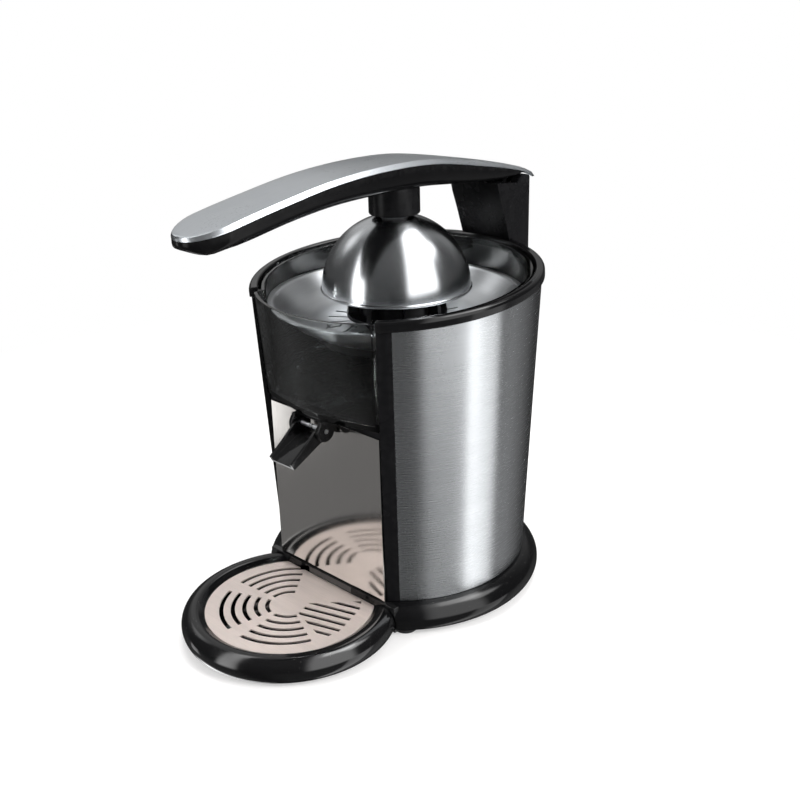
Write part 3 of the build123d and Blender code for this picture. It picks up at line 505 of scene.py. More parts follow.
def group_straight_brush():
    """Fine straight lines, as a flat sheet is brushed. Along is the lines to a metre on each axis."""
    tree, given, out = new_group("straight_brush", [
        ("Position", VECTOR, None), ("Along", VECTOR, (60.0, 4000.0, 4000.0)),
    ], [("Lines", FLOAT), ("Bands", FLOAT)])
    grain = stretched(tree, given["Position"], given["Along"])
    link(tree, spread(tree, noise(tree, grain, 1.0, 4.0, 0.7), 0.34, 0.66), out["Lines"])
    broad = stretched(tree, grain, (0.25, 0.06, 0.06))
    link(tree, spread(tree, noise(tree, broad, 1.0, 2.0), 0.3, 0.7), out["Bands"])


def group_handling():
    """Soft smears from hands and cloths, and dust that settles on what faces up."""
    tree, given, out = new_group("handling", [
        ("Position", VECTOR, None), ("Smear", FLOAT, 1.0), ("Dust", FLOAT, 1.0),
    ], [("Smears", FLOAT), ("Specks", FLOAT)])
    wipe = noise(tree, stretched(tree, given["Position"], (1.0, 1.0, 0.45)), 34.0, 5.0, 0.6)
    patch = noise(tree, given["Position"], 13.0, 2.0)
    smears = times(tree, spread(tree, wipe, 0.45, 0.72), spread(tree, patch, 0.4, 0.65))
    link(tree, times(tree, smears, given["Smear"]), out["Smears"])
    cells = put(tree, "ShaderNodeTexVoronoi", {"Vector": given["Position"], "Scale": 620.0})
    dots = spread(tree, cells.outputs["Distance"], 0.05, 0.13, 1.0, 0.0)
    chosen = spread(tree, noise(tree, given["Position"], 260.0, 1.0), 0.58, 0.66)
    normal = put(tree, "ShaderNodeNewGeometry").outputs["Normal"]
    upward = spread(tree, put(tree, "ShaderNodeSeparateXYZ", {0: normal}).outputs[2], 0.2, 0.9)
    specks = times(tree, times(tree, dots, chosen), upward)
    link(tree, times(tree, specks, given["Dust"]), out["Specks"])


def group_moulded():
    """Skin of a moulded plastic: fine texture and the slow waves of the moulding."""
    tree, given, out = new_group("moulded_skin", [
        ("Position", VECTOR, None), ("Texture", FLOAT, 1.0), ("Waves", FLOAT, 1.0),
    ], [("Height", FLOAT), ("Mottle", FLOAT)])
    fine = noise(tree, given["Position"], 2600.0, 2.0)
    cells = put(tree, "ShaderNodeTexVoronoi", {"Vector": given["Position"], "Scale": 1900.0})
    pits = times(tree, cells.outputs["Distance"], 0.5)
    texture = times(tree, plus(tree, fine, pits), given["Texture"])
    slow = times(tree, noise(tree, given["Position"], 55.0, 2.0), given["Waves"])
    link(tree, plus(tree, texture, slow), out["Height"])
    link(tree, spread(tree, noise(tree, given["Position"], 21.0, 4.0), 0.3, 0.7), out["Mottle"])


def group_worn_edges():
    """Mask of the outer edges, where handling polishes a finish."""
    tree, given, out = new_group("worn_edges", [
        ("Position", VECTOR, None), ("Amount", FLOAT, 1.0),
    ], [("Edges", FLOAT)])
    point = put(tree, "ShaderNodeNewGeometry").outputs["Pointiness"]
    ragged = spread(tree, noise(tree, given["Position"], 240.0, 3.0), 0.35, 0.7)
    mask = times(tree, spread(tree, point, 0.515, 0.56), ragged)
    link(tree, times(tree, mask, given["Amount"]), out["Edges"])


GROUPS = (group_round_brush, group_straight_brush, group_handling, group_moulded, group_worn_edges)


def use(tree, name, position, **inputs):
    """Places one of the shared groups in a material."""
    inputs = {"Position": position, **inputs}
    return put(tree, "ShaderNodeGroup", inputs, node_tree=bpy.data.node_groups[name]).outputs


def blank(name, **shader):
    """A new material: its tree, its Principled shader and the object position."""
    material = bpy.data.materials.new(name)
    material.use_nodes = True
    tree = material.node_tree
    skin = tree.nodes["Principled BSDF"]
    for key, value in shader.items():
        skin.inputs[key.replace("_", " ")].default_value = value
    return tree, skin, put(tree, "ShaderNodeTexCoord").outputs["Object"]


def dress(tree, skin, colour, rough, height, strength, distance):
    """Feeds a colour, a roughness and, through a bump node, a height into the surface."""
    bump = put(tree, "ShaderNodeBump", {"Height": height, "Strength": strength, "Distance": distance})
    link(tree, colour, skin.inputs["Base Color"])
    link(tree, rough, skin.inputs["Roughness"])
    link(tree, bump.outputs[0], skin.inputs["Normal"])


def scaled(colour, factor):
    """A colour made lighter or darker, with its alpha."""
    return (*[min(1.0, c * factor) for c in colour], 1.0)


def brushed(name, colour, roughness, contrast, along=None, fineness=1.0, stretch=0.0, smear=1.0,
            groove=0.12, uneven=0.02):
    """Brushed metal, with lines that run round the reamer's axis, or straight if along is given.

    Contrast is how far the tone varies, and uneven how far the roughness varies. Stretch is how far
    highlights are drawn out across the lines. Groove is the strength of the lines' relief.
    """
    tree, skin, position = blank(name, Metallic=1.0, Anisotropic=stretch)
    if along:
        lines = use(tree, "straight_brush", position, Along=along)
    else:
        lines = use(tree, "round_brush", position, Fineness=fineness)
    if stretch:
        skin.inputs["Anisotropic Rotation"].default_value = 0.25
        tangent = put(tree, "ShaderNodeTangent", direction_type="UV_MAP", uv_map="Round")
        link(tree, tangent.outputs[0], skin.inputs["Tangent"])
    hands = use(tree, "handling", position, Smear=smear, Dust=0.6)
    tone = plus(tree, times(tree, lines["Lines"], 0.6), times(tree, lines["Bands"], 0.4))
    metal = blend_colour(tree, tone, scaled(colour, 1.0 - contrast), scaled(colour, 1.0 + contrast))
    metal = blend_colour(tree, times(tree, hands["Smears"], 0.18), metal, scaled(colour, 0.75))
    metal = blend_colour(tree, hands["Specks"], metal, (0.5, 0.48, 0.45, 1.0))
    rough = spread(tree, lines["Lines"], 0.0, 1.0, roughness - uneven, roughness + uneven)
    rough = plus(tree, rough, times(tree, hands["Smears"], 0.06))
    dress(tree, skin, metal, rough, lines["Lines"], groove, 0.00004)


def moulded(name, colour, roughness, texture, waves, depth, shine=0.2, wear=0.5, smear=1.0, dust=1.0,
            mottle=0.12):
    """Moulded plastic, from gloss to matt. Texture and waves share out a relief of that depth."""
    tree, skin, position = blank(name, Specular_IOR_Level=shine)
    surface = use(tree, "moulded_skin", position, Texture=texture, Waves=waves)
    hands = use(tree, "handling", position, Smear=smear, Dust=dust)
    edges = use(tree, "worn_edges", position, Amount=wear)
    base = blend_colour(tree, surface["Mottle"], scaled(colour, 1.0 - mottle), scaled(colour, 1.0 + mottle))
    base = blend_colour(tree, edges["Edges"], base, scaled([c + 0.03 for c in colour], 1.6))
    base = blend_colour(tree, times(tree, hands["Specks"], 0.7), base, (0.32, 0.31, 0.29, 1.0))
    rough = spread(tree, surface["Mottle"], 0.0, 1.0, roughness * 0.85, roughness * 1.15)
    rough = plus(tree, rough, times(tree, hands["Smears"], 0.16))
    rough = plus(tree, rough, times(tree, hands["Specks"], 0.4))
    dress(tree, skin, base, rough, surface["Height"], 0.35, depth)


def clear(name, colour):
    """Clear moulded plastic with faint wiping marks and moulding waves."""
    tree, skin, position = blank(name, Metallic=0.0, IOR=1.49, Transmission_Weight=1.0)
    surface = use(tree, "moulded_skin", position, Texture=0.0, Waves=1.0)
    hands = use(tree, "handling", position, Smear=1.0, Dust=0.0)
    edges = use(tree, "worn_edges", position, Amount=0.4)
    base = blend_colour(tree, surface["Mottle"], scaled(colour, 0.97), scaled(colour, 1.03))
    base = blend_colour(tree, edges["Edges"], base, (0.97, 0.98, 0.98, 1.0))
    rough = spread(tree, hands["Smears"], 0.0, 1.0, 0.012, 0.10)
    dress(tree, skin, base, rough, surface["Height"], 0.2, 0.00006)


def plated(name, colour, roughness):
    """Zinc-plated or drawn steel with a faint spangle."""
    tree, skin, position = blank(name, Metallic=1.0)
    cells = put(tree, "ShaderNodeTexVoronoi", {"Vector": position, "Scale": 420.0})
    spangle = put(tree, "ShaderNodeSeparateColor", {0: cells.outputs["Color"]}).outputs[0]
    hands = use(tree, "handling", position, Smear=1.0, Dust=0.5)
    edges = use(tree, "worn_edges", position, Amount=0.6)
    metal = blend_colour(tree, spangle, scaled(colour, 0.88), scaled(colour, 1.1))
    metal = blend_colour(tree, edges["Edges"], metal, scaled(colour, 1.4))
    rough = spread(tree, spangle, 0.0, 1.0, roughness - 0.05, roughness + 0.08)
    rough = plus(tree, rough, times(tree, hands["Smears"], 0.12))
    dress(tree, skin, metal, rough, noise(tree, position, 900.0, 2.0), 0.15, 0.00005)


# The finish of the nodes that keep their CAD shape, by their slot in the record.
CAD_FINISH = {
    "black_gloss": "gloss_black",
    "black_satin": "moulded_black",
    "rubber_black": "rubber",
    "grey_plastic": "grey_plastic",
    "gear_nylon": "nylon",
    "zinc_steel": "zinc_steel",
    "motor_steel": "motor_steel",
    "brass": "bronze",
    "spring_steel": "spring_steel",
    "brushed_steel": "steel_plain",
    "polished_steel": "steel_polished",
    "satin_metal": "satin_metal",
    "clear_plastic": "clear_plastic",
}


class PRESS_OT_finishes(bpy.types.Operator):
    """Makes the materials and puts them on the carried-over nodes"""

    bl_idname = "press.finishes"
    bl_label = "Finishes"

    def execute(self, context):
        for carried_over in list(bpy.data.materials):
            bpy.data.materials.remove(carried_over)
        for build in GROUPS:
            build()
        c = context.scene.press_colours
        brushed("steel_wrap", c.steel, 0.27, 0.06, fineness=1.2, stretch=0.95, smear=0.35, groove=0.003,
                uneven=0.006)
        brushed("steel_dome", c.steel, 0.225, 0.04, fineness=1.6, stretch=0.72, smear=0.4, groove=0.002,
                uneven=0.004)
        brushed("steel_dish", c.steel, 0.30, 0.06, fineness=1.1, stretch=0.6, groove=0.03, uneven=0.01)
        brushed("steel_plain", c.steel, 0.30, 0.10)
        brushed("steel_grid", c.grid, 0.50, 0.08, along=(60.0, 3000.0, 3000.0))
        brushed("steel_polished", c.polished, 0.10, 0.05, along=(2600.0, 2600.0, 40.0), groove=0.06)
        brushed("satin_metal", c.satin, 0.29, 0.05, along=(3200.0, 50.0, 3200.0))
        moulded("gloss_black", c.gloss, 0.10, 0.0, 1.0, 0.00025, shine=0.5, wear=0.2)
        moulded("arm_black", c.gloss, 0.14, 0.0, 0.6, 0.0001, shine=0.10, wear=0.1)
        moulded("rim_black", c.gloss, 0.10, 0.0, 0.6, 0.0001, shine=0.26, wear=0.1)
        moulded("moulded_black", c.black, 0.28, 0.35, 0.5, 0.00006, shine=0.08, wear=0.1, smear=0.35,
                mottle=0.05)
        moulded("rubber", c.rubber, 0.72, 1.0, 0.5, 0.0002, wear=0.3, dust=2.0)
        moulded("grey_plastic", c.grey, 0.42, 0.6, 0.8, 0.0001, wear=0.4)
        moulded("nylon", c.nylon, 0.38, 0.2, 0.6, 0.0001, wear=0.0, mottle=0.05)
        clear("clear_plastic", c.clear)
        plated("zinc_steel", (0.55, 0.56, 0.58), 0.30)
        plated("motor_steel", (0.30, 0.31, 0.32), 0.40)
        plated("bronze", (0.62, 0.44, 0.22), 0.32)
        plated("spring_steel", (0.42, 0.42, 0.43), 0.26)
        plated("blackened_steel", (0.03, 0.03, 0.032), 0.35)
        slots = {row["node"]: row["material_slot"] for row in frame["record"]["subparts"]}
        for node, piece in frame["nodes"].items():
            piece.data.materials.clear()
            finish = "blackened_steel" if node == "hinge_pin" else CAD_FINISH[slots[node]]
            piece.data.materials.append(bpy.data.materials[finish])
        return {"FINISHED"}


# ---- pieces --------------------------------------------------------------------------------
class PRESS_OT_lever(bpy.types.Operator):
    """Models the arm: a satin metal skin over a black body with its hinge knuckle"""

    bl_idname = "press.lever"
    bl_label = "Lever"

    def execute(self, context):
        half = context.scene.press_sizes.lever_half / MM
        tip, tail = CREST[0][0], CREST[-1][0]
        crest = smooth(CREST, 8)
        belly = smooth(BELLY, 8)
        nose = [tip + NOSE_L * (1.0 - math.sin(math.radians(a))) for a in NOSE_TURNS]
        plain = [ARM_START - ARM_STEP * i for i in range(ARM_STEPS)]

        def width(y):
            """Half width: tapers to the tail, and rounds to a point at the tip."""
            if y > TAPER_START:
                return half - TAPER * (y - TAPER_START) / (tail - TAPER_START)
            into_nose = min(0.0, y - tip - NOSE_L) / NOSE_L
            return max(0.15, half * math.sqrt(max(0.0, 1.0 - into_nose**2)))

        def quarter(y, length):
            """Rises from 0 at the tip to 1 at that length from it, as a quarter circle does."""
            return math.sqrt(1.0 - (1.0 - min(1.0, (y - tip) / length)) ** 2)

        def skin_edge(y):
            """How far the edge of the metal skin lies below the crest."""
            return 2.6 + 0.7 * min(1.0, (y - tip) / 30.0)

        # Sections are in parts of the half width and of the height.
        shoulder = [
            (1.0, 0.0), (1.0, 0.05), (0.996, 0.12), (0.988, 0.18), (0.872, 0.93), (0.86, 0.97),
            (CROWN_HALF, 0.995),
        ]
        crown = [(x, 1.0 + CROWN * (1.0 - (x / CROWN_HALF) ** 2)) for x in (0.8, 0.72, 0.5, 0.25)]
        section = both_sides([*shoulder, *crown], (0.0, 1.0 + CROWN))
        stations = []
        for y in (111.8, 111.0, 109.0, 105.0, 100.0, 94.0, *plain, *nose):
            height = skin_edge(y) * (0.5 + 0.5 * quarter(y, SKIN_T)) / (1.0 + CROWN)
            stations.append((y, height_on(crest, y) - skin_edge(y), width(y), height))
        cover = drawn_out("lever_skin", section, stations)
        apply(cover, "SOLIDIFY", thickness=SKIN_T * MM, offset=-1.0)
        hand_over(cover, "lever", "satin_metal", "satin_metal", "lever_cover", angle=40.0)

        def underside(y):
            """The belly, which curls up at the tip and clears the hinge."""
            low = height_on(belly, y) + 5.0 * (1.0 - quarter(y, 16.0))
            over_hinge = HINGE_GAP_R**2 - (y - HINGE[0]) ** 2
            return max(low, HINGE[1] + math.sqrt(over_hinge)) if over_hinge > 0 else low

        corner = [(0.74 + 0.26 * x, 0.46 - 0.46 * z) for x, z in arc(0.0, 0.0, 1.0, 0.0, 90.0, 6)]
        section = both_sides([(1.0, 1.0), (1.0, 0.7), *corner, (0.4, -0.03)])
        stations = []
        for y in (101.9, 99.0, 96.0, 92.0, *plain, *nose):
            foot = underside(y)
            height = height_on(crest, y) - skin_edge(y) + 0.1 - foot
            stations.append((y, foot, width(y) - 0.1, max(0.4, height)))
        body = drawn_out("lever_body", section, stations, closed=True)
        hand_over(body, "lever", "black_gloss", "arm_black", "lever_shell", angle=40.0)

        end = [
            (KNUCKLE_BORE, KNUCKLE_HALF), (KNUCKLE_R - 0.4, KNUCKLE_HALF), (KNUCKLE_R, KNUCKLE_HALF - 0.4),
        ]
        outline = [*[(r, -x) for r, x in end], *reversed(end)]
        knuckle = turned("lever_knuckle", outline, closed=True, steps=64)
        bpy.ops.mesh.select_all(action="SELECT")
        bpy.ops.transform.rotate(value=math.radians(90.0), orient_axis="Y", center_override=at(0, 0, 0))
        bpy.ops.transform.translate(value=at(0, HINGE[0], HINGE[1]) - at(0, 0, 0))
        tidy_up()
        hand_over(knuckle, "lever", "black_gloss", "gloss_black")
        outline = [(91.5, 243.5), (101.0, 247.6), (101.0, 251.5), (88.5, 252.5), (88.0, 249.2)]
        web = plate("lever_web", [at(-KNUCKLE_HALF, y, z) for y, z in outline],
                    Vector((2.0 * KNUCKLE_HALF * MM, 0, 0)))
        soften(web, 0.6)
        hand_over(web, "lever", "black_gloss", "gloss_black")
        return {"FINISHED"}


class PRESS_OT_dome(bpy.types.Operator):
    """Models the steel press dome and the black neck that carries it"""

    bl_idname = "press.dome"
    bl_label = "Press dome"

    def execute(self, context):
        r = context.scene.press_sizes.dome_radius / MM
        foot = DOME_LOW.z / MM
        lip = arc(r - 0.5, foot + 1.1, 1.1, -180.0, 70.0, 10)
        outer = arc(0.0, foot, r, 3.0, 78.0, 25)
        inner = arc(0.0, foot, r - DOME_T, 78.0, 6.0, 18)
        dome = turned("dome_shell", [*lip, *outer, *inner], closed=True)
        leave()
        round_map(dome)
        hand_over(dome, "dome", "brushed_steel", "steel_dome", "press_dome")

        outline = [
            (12.4, 239.8), (14.6, 239.8), (15.2, 240.0), (15.5, 240.6), (15.5, 254.2), (14.9, 256.4),
            (12.4, 256.4),
        ]
        neck = turned("dome_neck", outline, closed=True, steps=96)
        hand_over(neck, "lever", "black_satin", "moulded_black", "neck_collar")
        return {"FINISHED"}


class PRESS_OT_rim(bpy.types.Operator):
    """Models the black rim with its deep collar, open where the window stands"""

    bl_idname = "press.rim"
    bl_label = "Rim"

    def execute(self, context):
        sizes = context.scene.press_sizes
        r = sizes.rim_radius / MM
        outline = [
            (r - 1.3, -6.0), (r - 0.4, -5.9), (r - 0.05, -5.5), (r, -4.6),
            *arc(r - 2.5, -2.5, 2.5, 8.0, 82.0, 7),
            (r - 4.0, -0.15),
            *arc(r - 4.6, -1.2, 1.2, 95.0, 172.0, 5),
            (r - 5.9, -8.0), (r - 6.0, -30.0), (r - 5.4, -30.0), (r - 4.6, -16.0), (r - 3.2, -8.0),
            (r - 2.9, -6.0),
        ]
        ring = turned("rim_ring", [(x, RIM_Z + z) for x, z in outline], RIM_START, 360.0 - 2.0 * RIM_START,
                      closed=True)
        edit(ring)
        centre = at(0, 0, RIM_Z)
        stretch = 1.0 / math.cos(sizes.rim_tilt)
        bpy.ops.transform.resize(value=(1, stretch, 1), center_override=centre)
        bpy.ops.transform.rotate(value=-sizes.rim_tilt, orient_axis="X", center_override=centre)
        cut(at(0, 0, COLLAR_LOW), (0, 0, -1))
        tidy_up()
        soften(ring, 0.25, 2, 50.0)
        hand_over(ring, "housing", "black_gloss", "rim_black", "top_ring")
        return {"FINISHED"}


class PRESS_OT_wrap(bpy.types.Operator):
    """Models the brushed steel sheet round the housing"""

    bl_idname = "press.wrap"
    bl_label = "Steel wrap"

    def execute(self, context):
        tilt = context.scene.press_sizes.rim_tilt
        (foot_r, foot_z), (head_r, head_z) = WRAP_FOOT, WRAP_HEAD
        slope = (head_r - foot_r) / (head_z - foot_z)
        heights = [20.0 + 12.0 * i for i in range(17)]
        outline = [(foot_r - 0.25, foot_z), *[(foot_r + slope * (z - foot_z), z) for z in heights]]
        wrap = turned("wrap_sheet", outline, WRAP_START, 360.0 - 2.0 * WRAP_START)
        cut(at(0, 0, RIM_Z - GROOVE), (0, -math.sin(tilt), math.cos(tilt)), fill=False)
        apply(wrap, "SOLIDIFY", thickness=WRAP_T * MM, offset=-1.0)
        soften(wrap, 0.2, 2, 50.0)
        round_map(wrap)
        hand_over(wrap, "housing", "brushed_steel", "steel_wrap", "steel_wrap")
        return {"FINISHED"}


class PRESS_OT_dish(bpy.types.Operator):
    """Models the pressed steel dish and eases its carrier and slotted floor"""

    bl_idname = "press.dish"
    bl_label = "Strainer dish"

    def execute(self, context):
        line = [
            (48.0, 171.4), (53.0, 171.9), (58.0, 173.6), (66.0, 178.6), (72.5, 185.0), (75.5, 188.2),
            (77.0, 188.8), (79.2, 188.8),
        ]
        dish = turned("dish_pan", smooth(line, 4))
        apply(dish, "SOLIDIFY", thickness=DISH_T * MM, offset=1.0)
        round_map(dish)
        hand_over(dish, "housing", "brushed_steel", "steel_dish", "strainer_dish")
        floor = recut("dish_floor", "strainer_plate", 0.12)
        round_map(floor)
        hand_over(floor, "housing", "brushed_steel", "steel_dish", "strainer_plate")
        ring = recut("dish_carrier", "strainer_ring", 0.3)
        hand_over(ring, "housing", "black_satin", "moulded_black", "strainer_ring")
        return {"FINISHED"}


class PRESS_OT_bowl(bpy.types.Operator):
    """Eases the edges of the clear juice bowl"""

    bl_idname = "press.bowl"
    bl_label = "Juice bowl"

    def execute(self, context):
        bowl = recut("clear_bowl", "juice_bowl", 0.35, 2, 50.0)
        hand_over(bowl, "housing", "clear_plastic", "clear_plastic", "juice_bowl", angle=30.0)
        return {"FINISHED"}


class PRESS_OT_base(bpy.types.Operator):
    """Models the rounded base ring and the panel that closes its front"""

    bl_idname = "press.base"
    bl_label = "Base"

    def execute(self, context):
        outer = [
            (83.5, BASE_LOW), (87.4, 3.6), (89.1, 6.4), (89.5, 9.0), (89.0, 12.0), (86.8, 15.7),
            (83.2, 18.2), (80.4, 19.2),
        ]
        outline = [(BASE_BORE, BASE_LOW), *smooth(outer, 4), (79.2, BASE_TOP), (BASE_BORE, BASE_TOP)]
        ring = turned("base_ring", outline, closed=True)
        edit(ring)
        cut(at(0, BASE_FRONT, 0), (0, -1, 0))
        tidy_up()
        soften(ring, 0.5, 3, 50.0)
        hand_over(ring, "housing", "black_gloss", "rim_black", "base_shell")
        left, right, low, high = -FRONT_HALF, FRONT_HALF, BASE_LOW, BASE_TOP - 0.1
        corners = [(left, low), (right, low), (right, high), (left, high)]
        front = plate("base_front", [at(x, BASE_FRONT, z) for x, z in corners],
                      Vector((0, FRONT_T * MM, 0)))
        soften(front, 0.4)
        hand_over(front, "housing", "black_gloss", "gloss_black")
        return {"FINISHED"}


class PRESS_OT_tray(bpy.types.Operator):
    """Models the round drip tray and eases its steel grid"""

    bl_idname = "press.tray"
    bl_label = "Drip tray"

    def execute(self, context):
        r = context.scene.press_sizes.tray_radius / MM
        outer = [
            (r - 6.0, TRAY_LOW), (r - 2.2, 3.2), (r - 0.5, 6.0), (r, 9.0), (r - 0.5, 11.8), (r - 2.3, 14.8),
            (r - 5.3, 16.9), (r - 8.5, 17.5), (r - 11.0, 16.9),
        ]
        outline = [
            *smooth(outer, 4), (52.6, 14.9), (52.5, GRID_LEDGE), (48.6, GRID_LEDGE), (48.5, 4.4),
            (47.6, TRAY_FLOOR), (0.0, TRAY_FLOOR), (0.0, TRAY_LOW),
        ]
        tray = turned("tray_body", outline, closed=True, centre=(0.0, TRAY_Y))
        edit(tray)
        cut(at(0, TRAY_BACK, 0), (0, 1, 0))
        tidy_up()
        soften(tray, 0.4, 3, 50.0)
        hand_over(tray, "tray", "black_gloss", "gloss_black", "drip_tray")
        grid = recut("tray_grid", "drip_grid", 0.22)
        hand_over(grid, "grid", "brushed_steel", "steel_grid", "drip_grid")
        return {"FINISHED"}


class PRESS_OT_trims(bpy.types.Operator):
    """Eases the edges of the column, its cover, strips, front panel, spout and reamer cone"""

    bl_idname = "press.trims"
    bl_label = "Column, strips and spout"

    def execute(self, context):
        for name, node, body, slot, finish, width in (
            ("column_body", "rear_column", "housing", "black_satin", "moulded_black", 0.9),
            ("column_lid", "column_cover", "housing", "black_satin", "moulded_black", 0.3),
            ("trim_right", "strip_right", "housing", "black_satin", "moulded_black", 0.4),
            ("trim_left", "strip_left", "housing", "black_satin", "moulded_black", 0.4),
            ("panel_front", "front_panel", "housing", "polished_steel", "steel_polished", 0.2),
            ("spout_bracket", "spout_body", "housing", "black_satin", "gloss_black", 0.6),
            ("spout_trough", "spout_flap", "drip_stop", "black_gloss", "gloss_black", 0.35),
            ("cone", "reamer_cone", "reamer", "black_satin", "moulded_black", 0.5),
        ):
            hand_over(recut(name, node, width, 3, 40.0), body, slot, finish, node)
        return {"FINISHED"}


# ---- stage ---------------------------------------------------------------------------------
def softbox(name, place, width, height, power):
    """An area lamp turned to the lit point; metal mirrors the tent's cards and not the lamps."""
    lamp = bpy.data.lights.new(name, "AREA")
    lamp.shape = "RECTANGLE"
    lamp.size, lamp.size_y, lamp.energy = width, height, power
    holder = bpy.data.objects.new(name, lamp)
    bpy.context.scene.collection.objects.link(holder)
    holder.location = place
    holder.rotation_euler = (Vector(LIT_POINT) - Vector(place)).to_track_quat("-Z", "Y").to_euler()
    holder.visible_glossy = False


def seen_rays(tree):
    """1 for rays from the camera, from gloss and through clear pieces, else 0."""
    rays = put(tree, "ShaderNodeLightPath").outputs
    return maths(tree, "MAXIMUM", rays["Is Camera Ray"],
                 maths(tree, "MAXIMUM", rays["Is Glossy Ray"], rays["Is Transmission Ray"]))


def with_gap(tree, surface, comparison):
    """Lets rays that come through a clear piece pass: those mirrored before it, or those not."""
    rays = put(tree, "ShaderNodeLightPath").outputs
    chosen = maths(tree, comparison, rays["Glossy Depth"], 0.5)
    passing = times(tree, rays["Is Transmission Ray"], chosen)
    gap = put(tree, "ShaderNodeBsdfTransparent").outputs[0]
    put(tree, "ShaderNodeOutputMaterial", {"Surface": blend_shader(tree, passing, surface, gap)})


def bare(name):
    """A new material without nodes in it, and its tree."""
    material = bpy.data.materials.new(name)
    material.use_nodes = True
    material.node_tree.nodes.clear()
    return material, material.node_tree


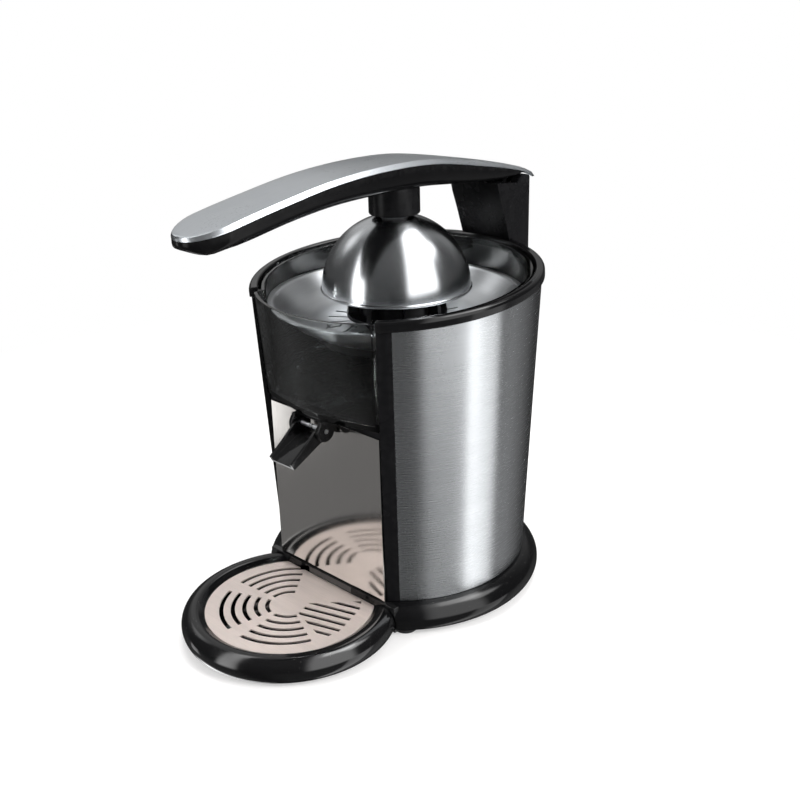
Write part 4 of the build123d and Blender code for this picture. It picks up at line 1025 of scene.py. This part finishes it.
class PRESS_OT_stage(bpy.types.Operator):
    """Sets the floor, the dark tent that the metal mirrors, the lights and the camera"""

    bl_idname = "press.stage"
    bl_label = "Stage"

    def execute(self, context):
        scene = context.scene
        scene.view_settings.view_transform = "Standard"
        choose_none()
        bpy.ops.mesh.primitive_plane_add(size=FLOOR_SIZE)
        floor = bpy.context.object
        floor.name = "floor"
        floor.data.materials.append(self.floor_finish(scene.press_colours.floor))
        floor.visible_glossy = False
        choose_none()
        bpy.ops.mesh.primitive_uv_sphere_add(segments=64, ring_count=32, radius=TENT_R,
                                             location=(0, 0, TENT_Z))
        tent = bpy.context.object
        tent.name = "dark_tent"
        tent.data.materials.append(self.tent_finish())
        tent.visible_camera = tent.visible_diffuse = tent.visible_shadow = False
        tent.visible_volume_scatter = False
        self.world(scene)
        for box in SOFTBOXES:
            softbox(*box)
        self.camera(scene)
        return {"FINISHED"}

    def floor_finish(self, colour):
        """Pale table top: white away from the object, with the object's shadow on it."""
        material, tree = bare("table_top")
        position = put(tree, "ShaderNodeTexCoord").outputs["Object"]
        far = spread(tree, length(tree, position), *FLOOR_FADE)
        grain = noise(tree, position, 180.0, 3.0)
        tone = blend_colour(tree, grain, scaled(colour, 0.985), scaled(colour, 1.015))
        cloth = put(tree, "ShaderNodeBsdfDiffuse", {"Color": tone}).outputs[0]
        near = put(tree, "ShaderNodeAddShader", {0: cloth, 1: glowing(tree, FLOOR_LIFT)}).outputs[0]
        shown = blend_shader(tree, far, near, glowing(tree, 1.0))
        floor = blend_shader(tree, seen_rays(tree), cloth, shown)
        # What metal mirrors through a clear piece is the tent, so those rays pass the floor.
        with_gap(tree, floor, "GREATER_THAN")
        return material

    def angles(self, tree, direction):
        """Angle round from straight ahead to the right and angle above the table, in degrees."""
        split = put(tree, "ShaderNodeSeparateXYZ", {0: direction}).outputs
        around = maths(tree, "ARCTAN2", split[0], times(tree, split[1], -1.0))
        upward = maths(tree, "ARCSINE", maths(tree, "DIVIDE", split[2], length(tree, direction)))
        return maths(tree, "DEGREES", around), maths(tree, "DEGREES", upward)

    def card(self, tree, around, upward, card):
        """Glow of one card."""
        middle, half, soft, low, high, edge, strength = card
        turn = maths(tree, "WRAP", maths(tree, "SUBTRACT", around, middle), 180.0, -180.0)
        glow = spread(tree, maths(tree, "ABSOLUTE", turn), half - soft, half + soft, strength, 0.0)
        glow = times(tree, glow, spread(tree, upward, low - edge, low + edge))
        return times(tree, glow, spread(tree, upward, high - edge, high + edge, 1.0, 0.0))

    def tent_finish(self):
        """Dark cloth with pale cards, as the metal sees it."""
        material, tree = bare("tent_cloth")
        material.cycles.emission_sampling = "NONE"
        place = put(tree, "ShaderNodeTexCoord").outputs["Object"]
        glow = spread(tree, self.angles(tree, place)[1], *TENT_GLOW)
        outwards = put(tree, "ShaderNodeVectorMath", {0: place}, operation="NORMALIZE").outputs[0]
        towards_camera = (Vector(CAMERA["place"]) - Vector(CAMERA["target"])).normalized()
        halfway = put(tree, "ShaderNodeVectorMath", {0: outwards, 1: towards_camera}, operation="ADD")
        facing = halfway.outputs[0]
        for cards, direction in ((CARDS, place), (BANDS, facing)):
            around, upward = self.angles(tree, direction)
            for card in cards:
                glow = plus(tree, glow, self.card(tree, around, upward, card))
        # What is seen straight through a clear piece is the white behind the tent.
        with_gap(tree, glowing(tree, glow), "LESS_THAN")
        return material

    def world(self, scene):
        """White where it is seen, and a weaker even light on the pieces."""
        scene.world = bpy.data.worlds.new("studio")
        scene.world.use_nodes = True
        tree = scene.world.node_tree
        tree.nodes.clear()
        fill = put(tree, "ShaderNodeBackground", {"Color": WHITE, "Strength": FILL}).outputs[0]
        backdrop = put(tree, "ShaderNodeBackground", {"Color": WHITE, "Strength": 1.0}).outputs[0]
        surface = blend_shader(tree, seen_rays(tree), fill, backdrop)
        put(tree, "ShaderNodeOutputWorld", {"Surface": surface})

    def camera(self, scene):
        """A camera with a small roll and a lens a little off centre."""
        lens = bpy.data.cameras.new("camera")
        camera = bpy.data.objects.new("camera", lens)
        scene.collection.objects.link(camera)
        place, target = Vector(CAMERA["place"]), Vector(CAMERA["target"])
        back = (place - target).normalized()
        side = Vector((0, 0, 1)).cross(back).normalized()
        roll = math.radians(CAMERA["roll"])
        up = back.cross(side)
        right = side * math.cos(roll) + up * math.sin(roll)
        top = up * math.cos(roll) - side * math.sin(roll)
        camera.matrix_world = Matrix((right, top, back)).transposed().to_4x4()
        camera.location = place
        lens.sensor_width = SENSOR
        lens.lens = CAMERA["focus"] * SENSOR / PICTURE
        lens.shift_x = (PICTURE / 2 - CAMERA["centre"][0]) / PICTURE
        lens.shift_y = (CAMERA["centre"][1] - PICTURE / 2) / PICTURE
        lens.clip_start, lens.clip_end = 0.01, 30.0
        scene.camera = camera


OPERATORS = (
    PRESS_OT_finishes, PRESS_OT_lever, PRESS_OT_dome, PRESS_OT_rim, PRESS_OT_wrap, PRESS_OT_dish,
    PRESS_OT_bowl, PRESS_OT_base, PRESS_OT_tray, PRESS_OT_trims, PRESS_OT_stage,
)


class PRESS_PT_panel(bpy.types.Panel):
    bl_idname = "PRESS_PT_panel"
    bl_label = "Citrus press"
    bl_space_type = "VIEW_3D"
    bl_region_type = "UI"
    bl_category = "Press"

    def draw(self, context):
        for group in (context.scene.press_sizes, context.scene.press_colours):
            for key in type(group).__annotations__:
                self.layout.prop(group, key)
        for operator in OPERATORS:
            self.layout.operator(operator.bl_idname)


CLASSES = (PressSizes, PressColours, *OPERATORS, PRESS_PT_panel)


def register():
    for made in CLASSES:
        bpy.utils.register_class(made)
    bpy.types.Scene.press_sizes = bpy.props.PointerProperty(type=PressSizes)
    bpy.types.Scene.press_colours = bpy.props.PointerProperty(type=PressColours)


def unregister():
    del bpy.types.Scene.press_colours
    del bpy.types.Scene.press_sizes
    for made in reversed(CLASSES):
        bpy.utils.unregister_class(made)


def main():
    register()
    for operator in OPERATORS:
        group, name = operator.bl_idname.split(".")
        getattr(getattr(bpy.ops, group), name)()


if __name__ == "__main__":
    main()
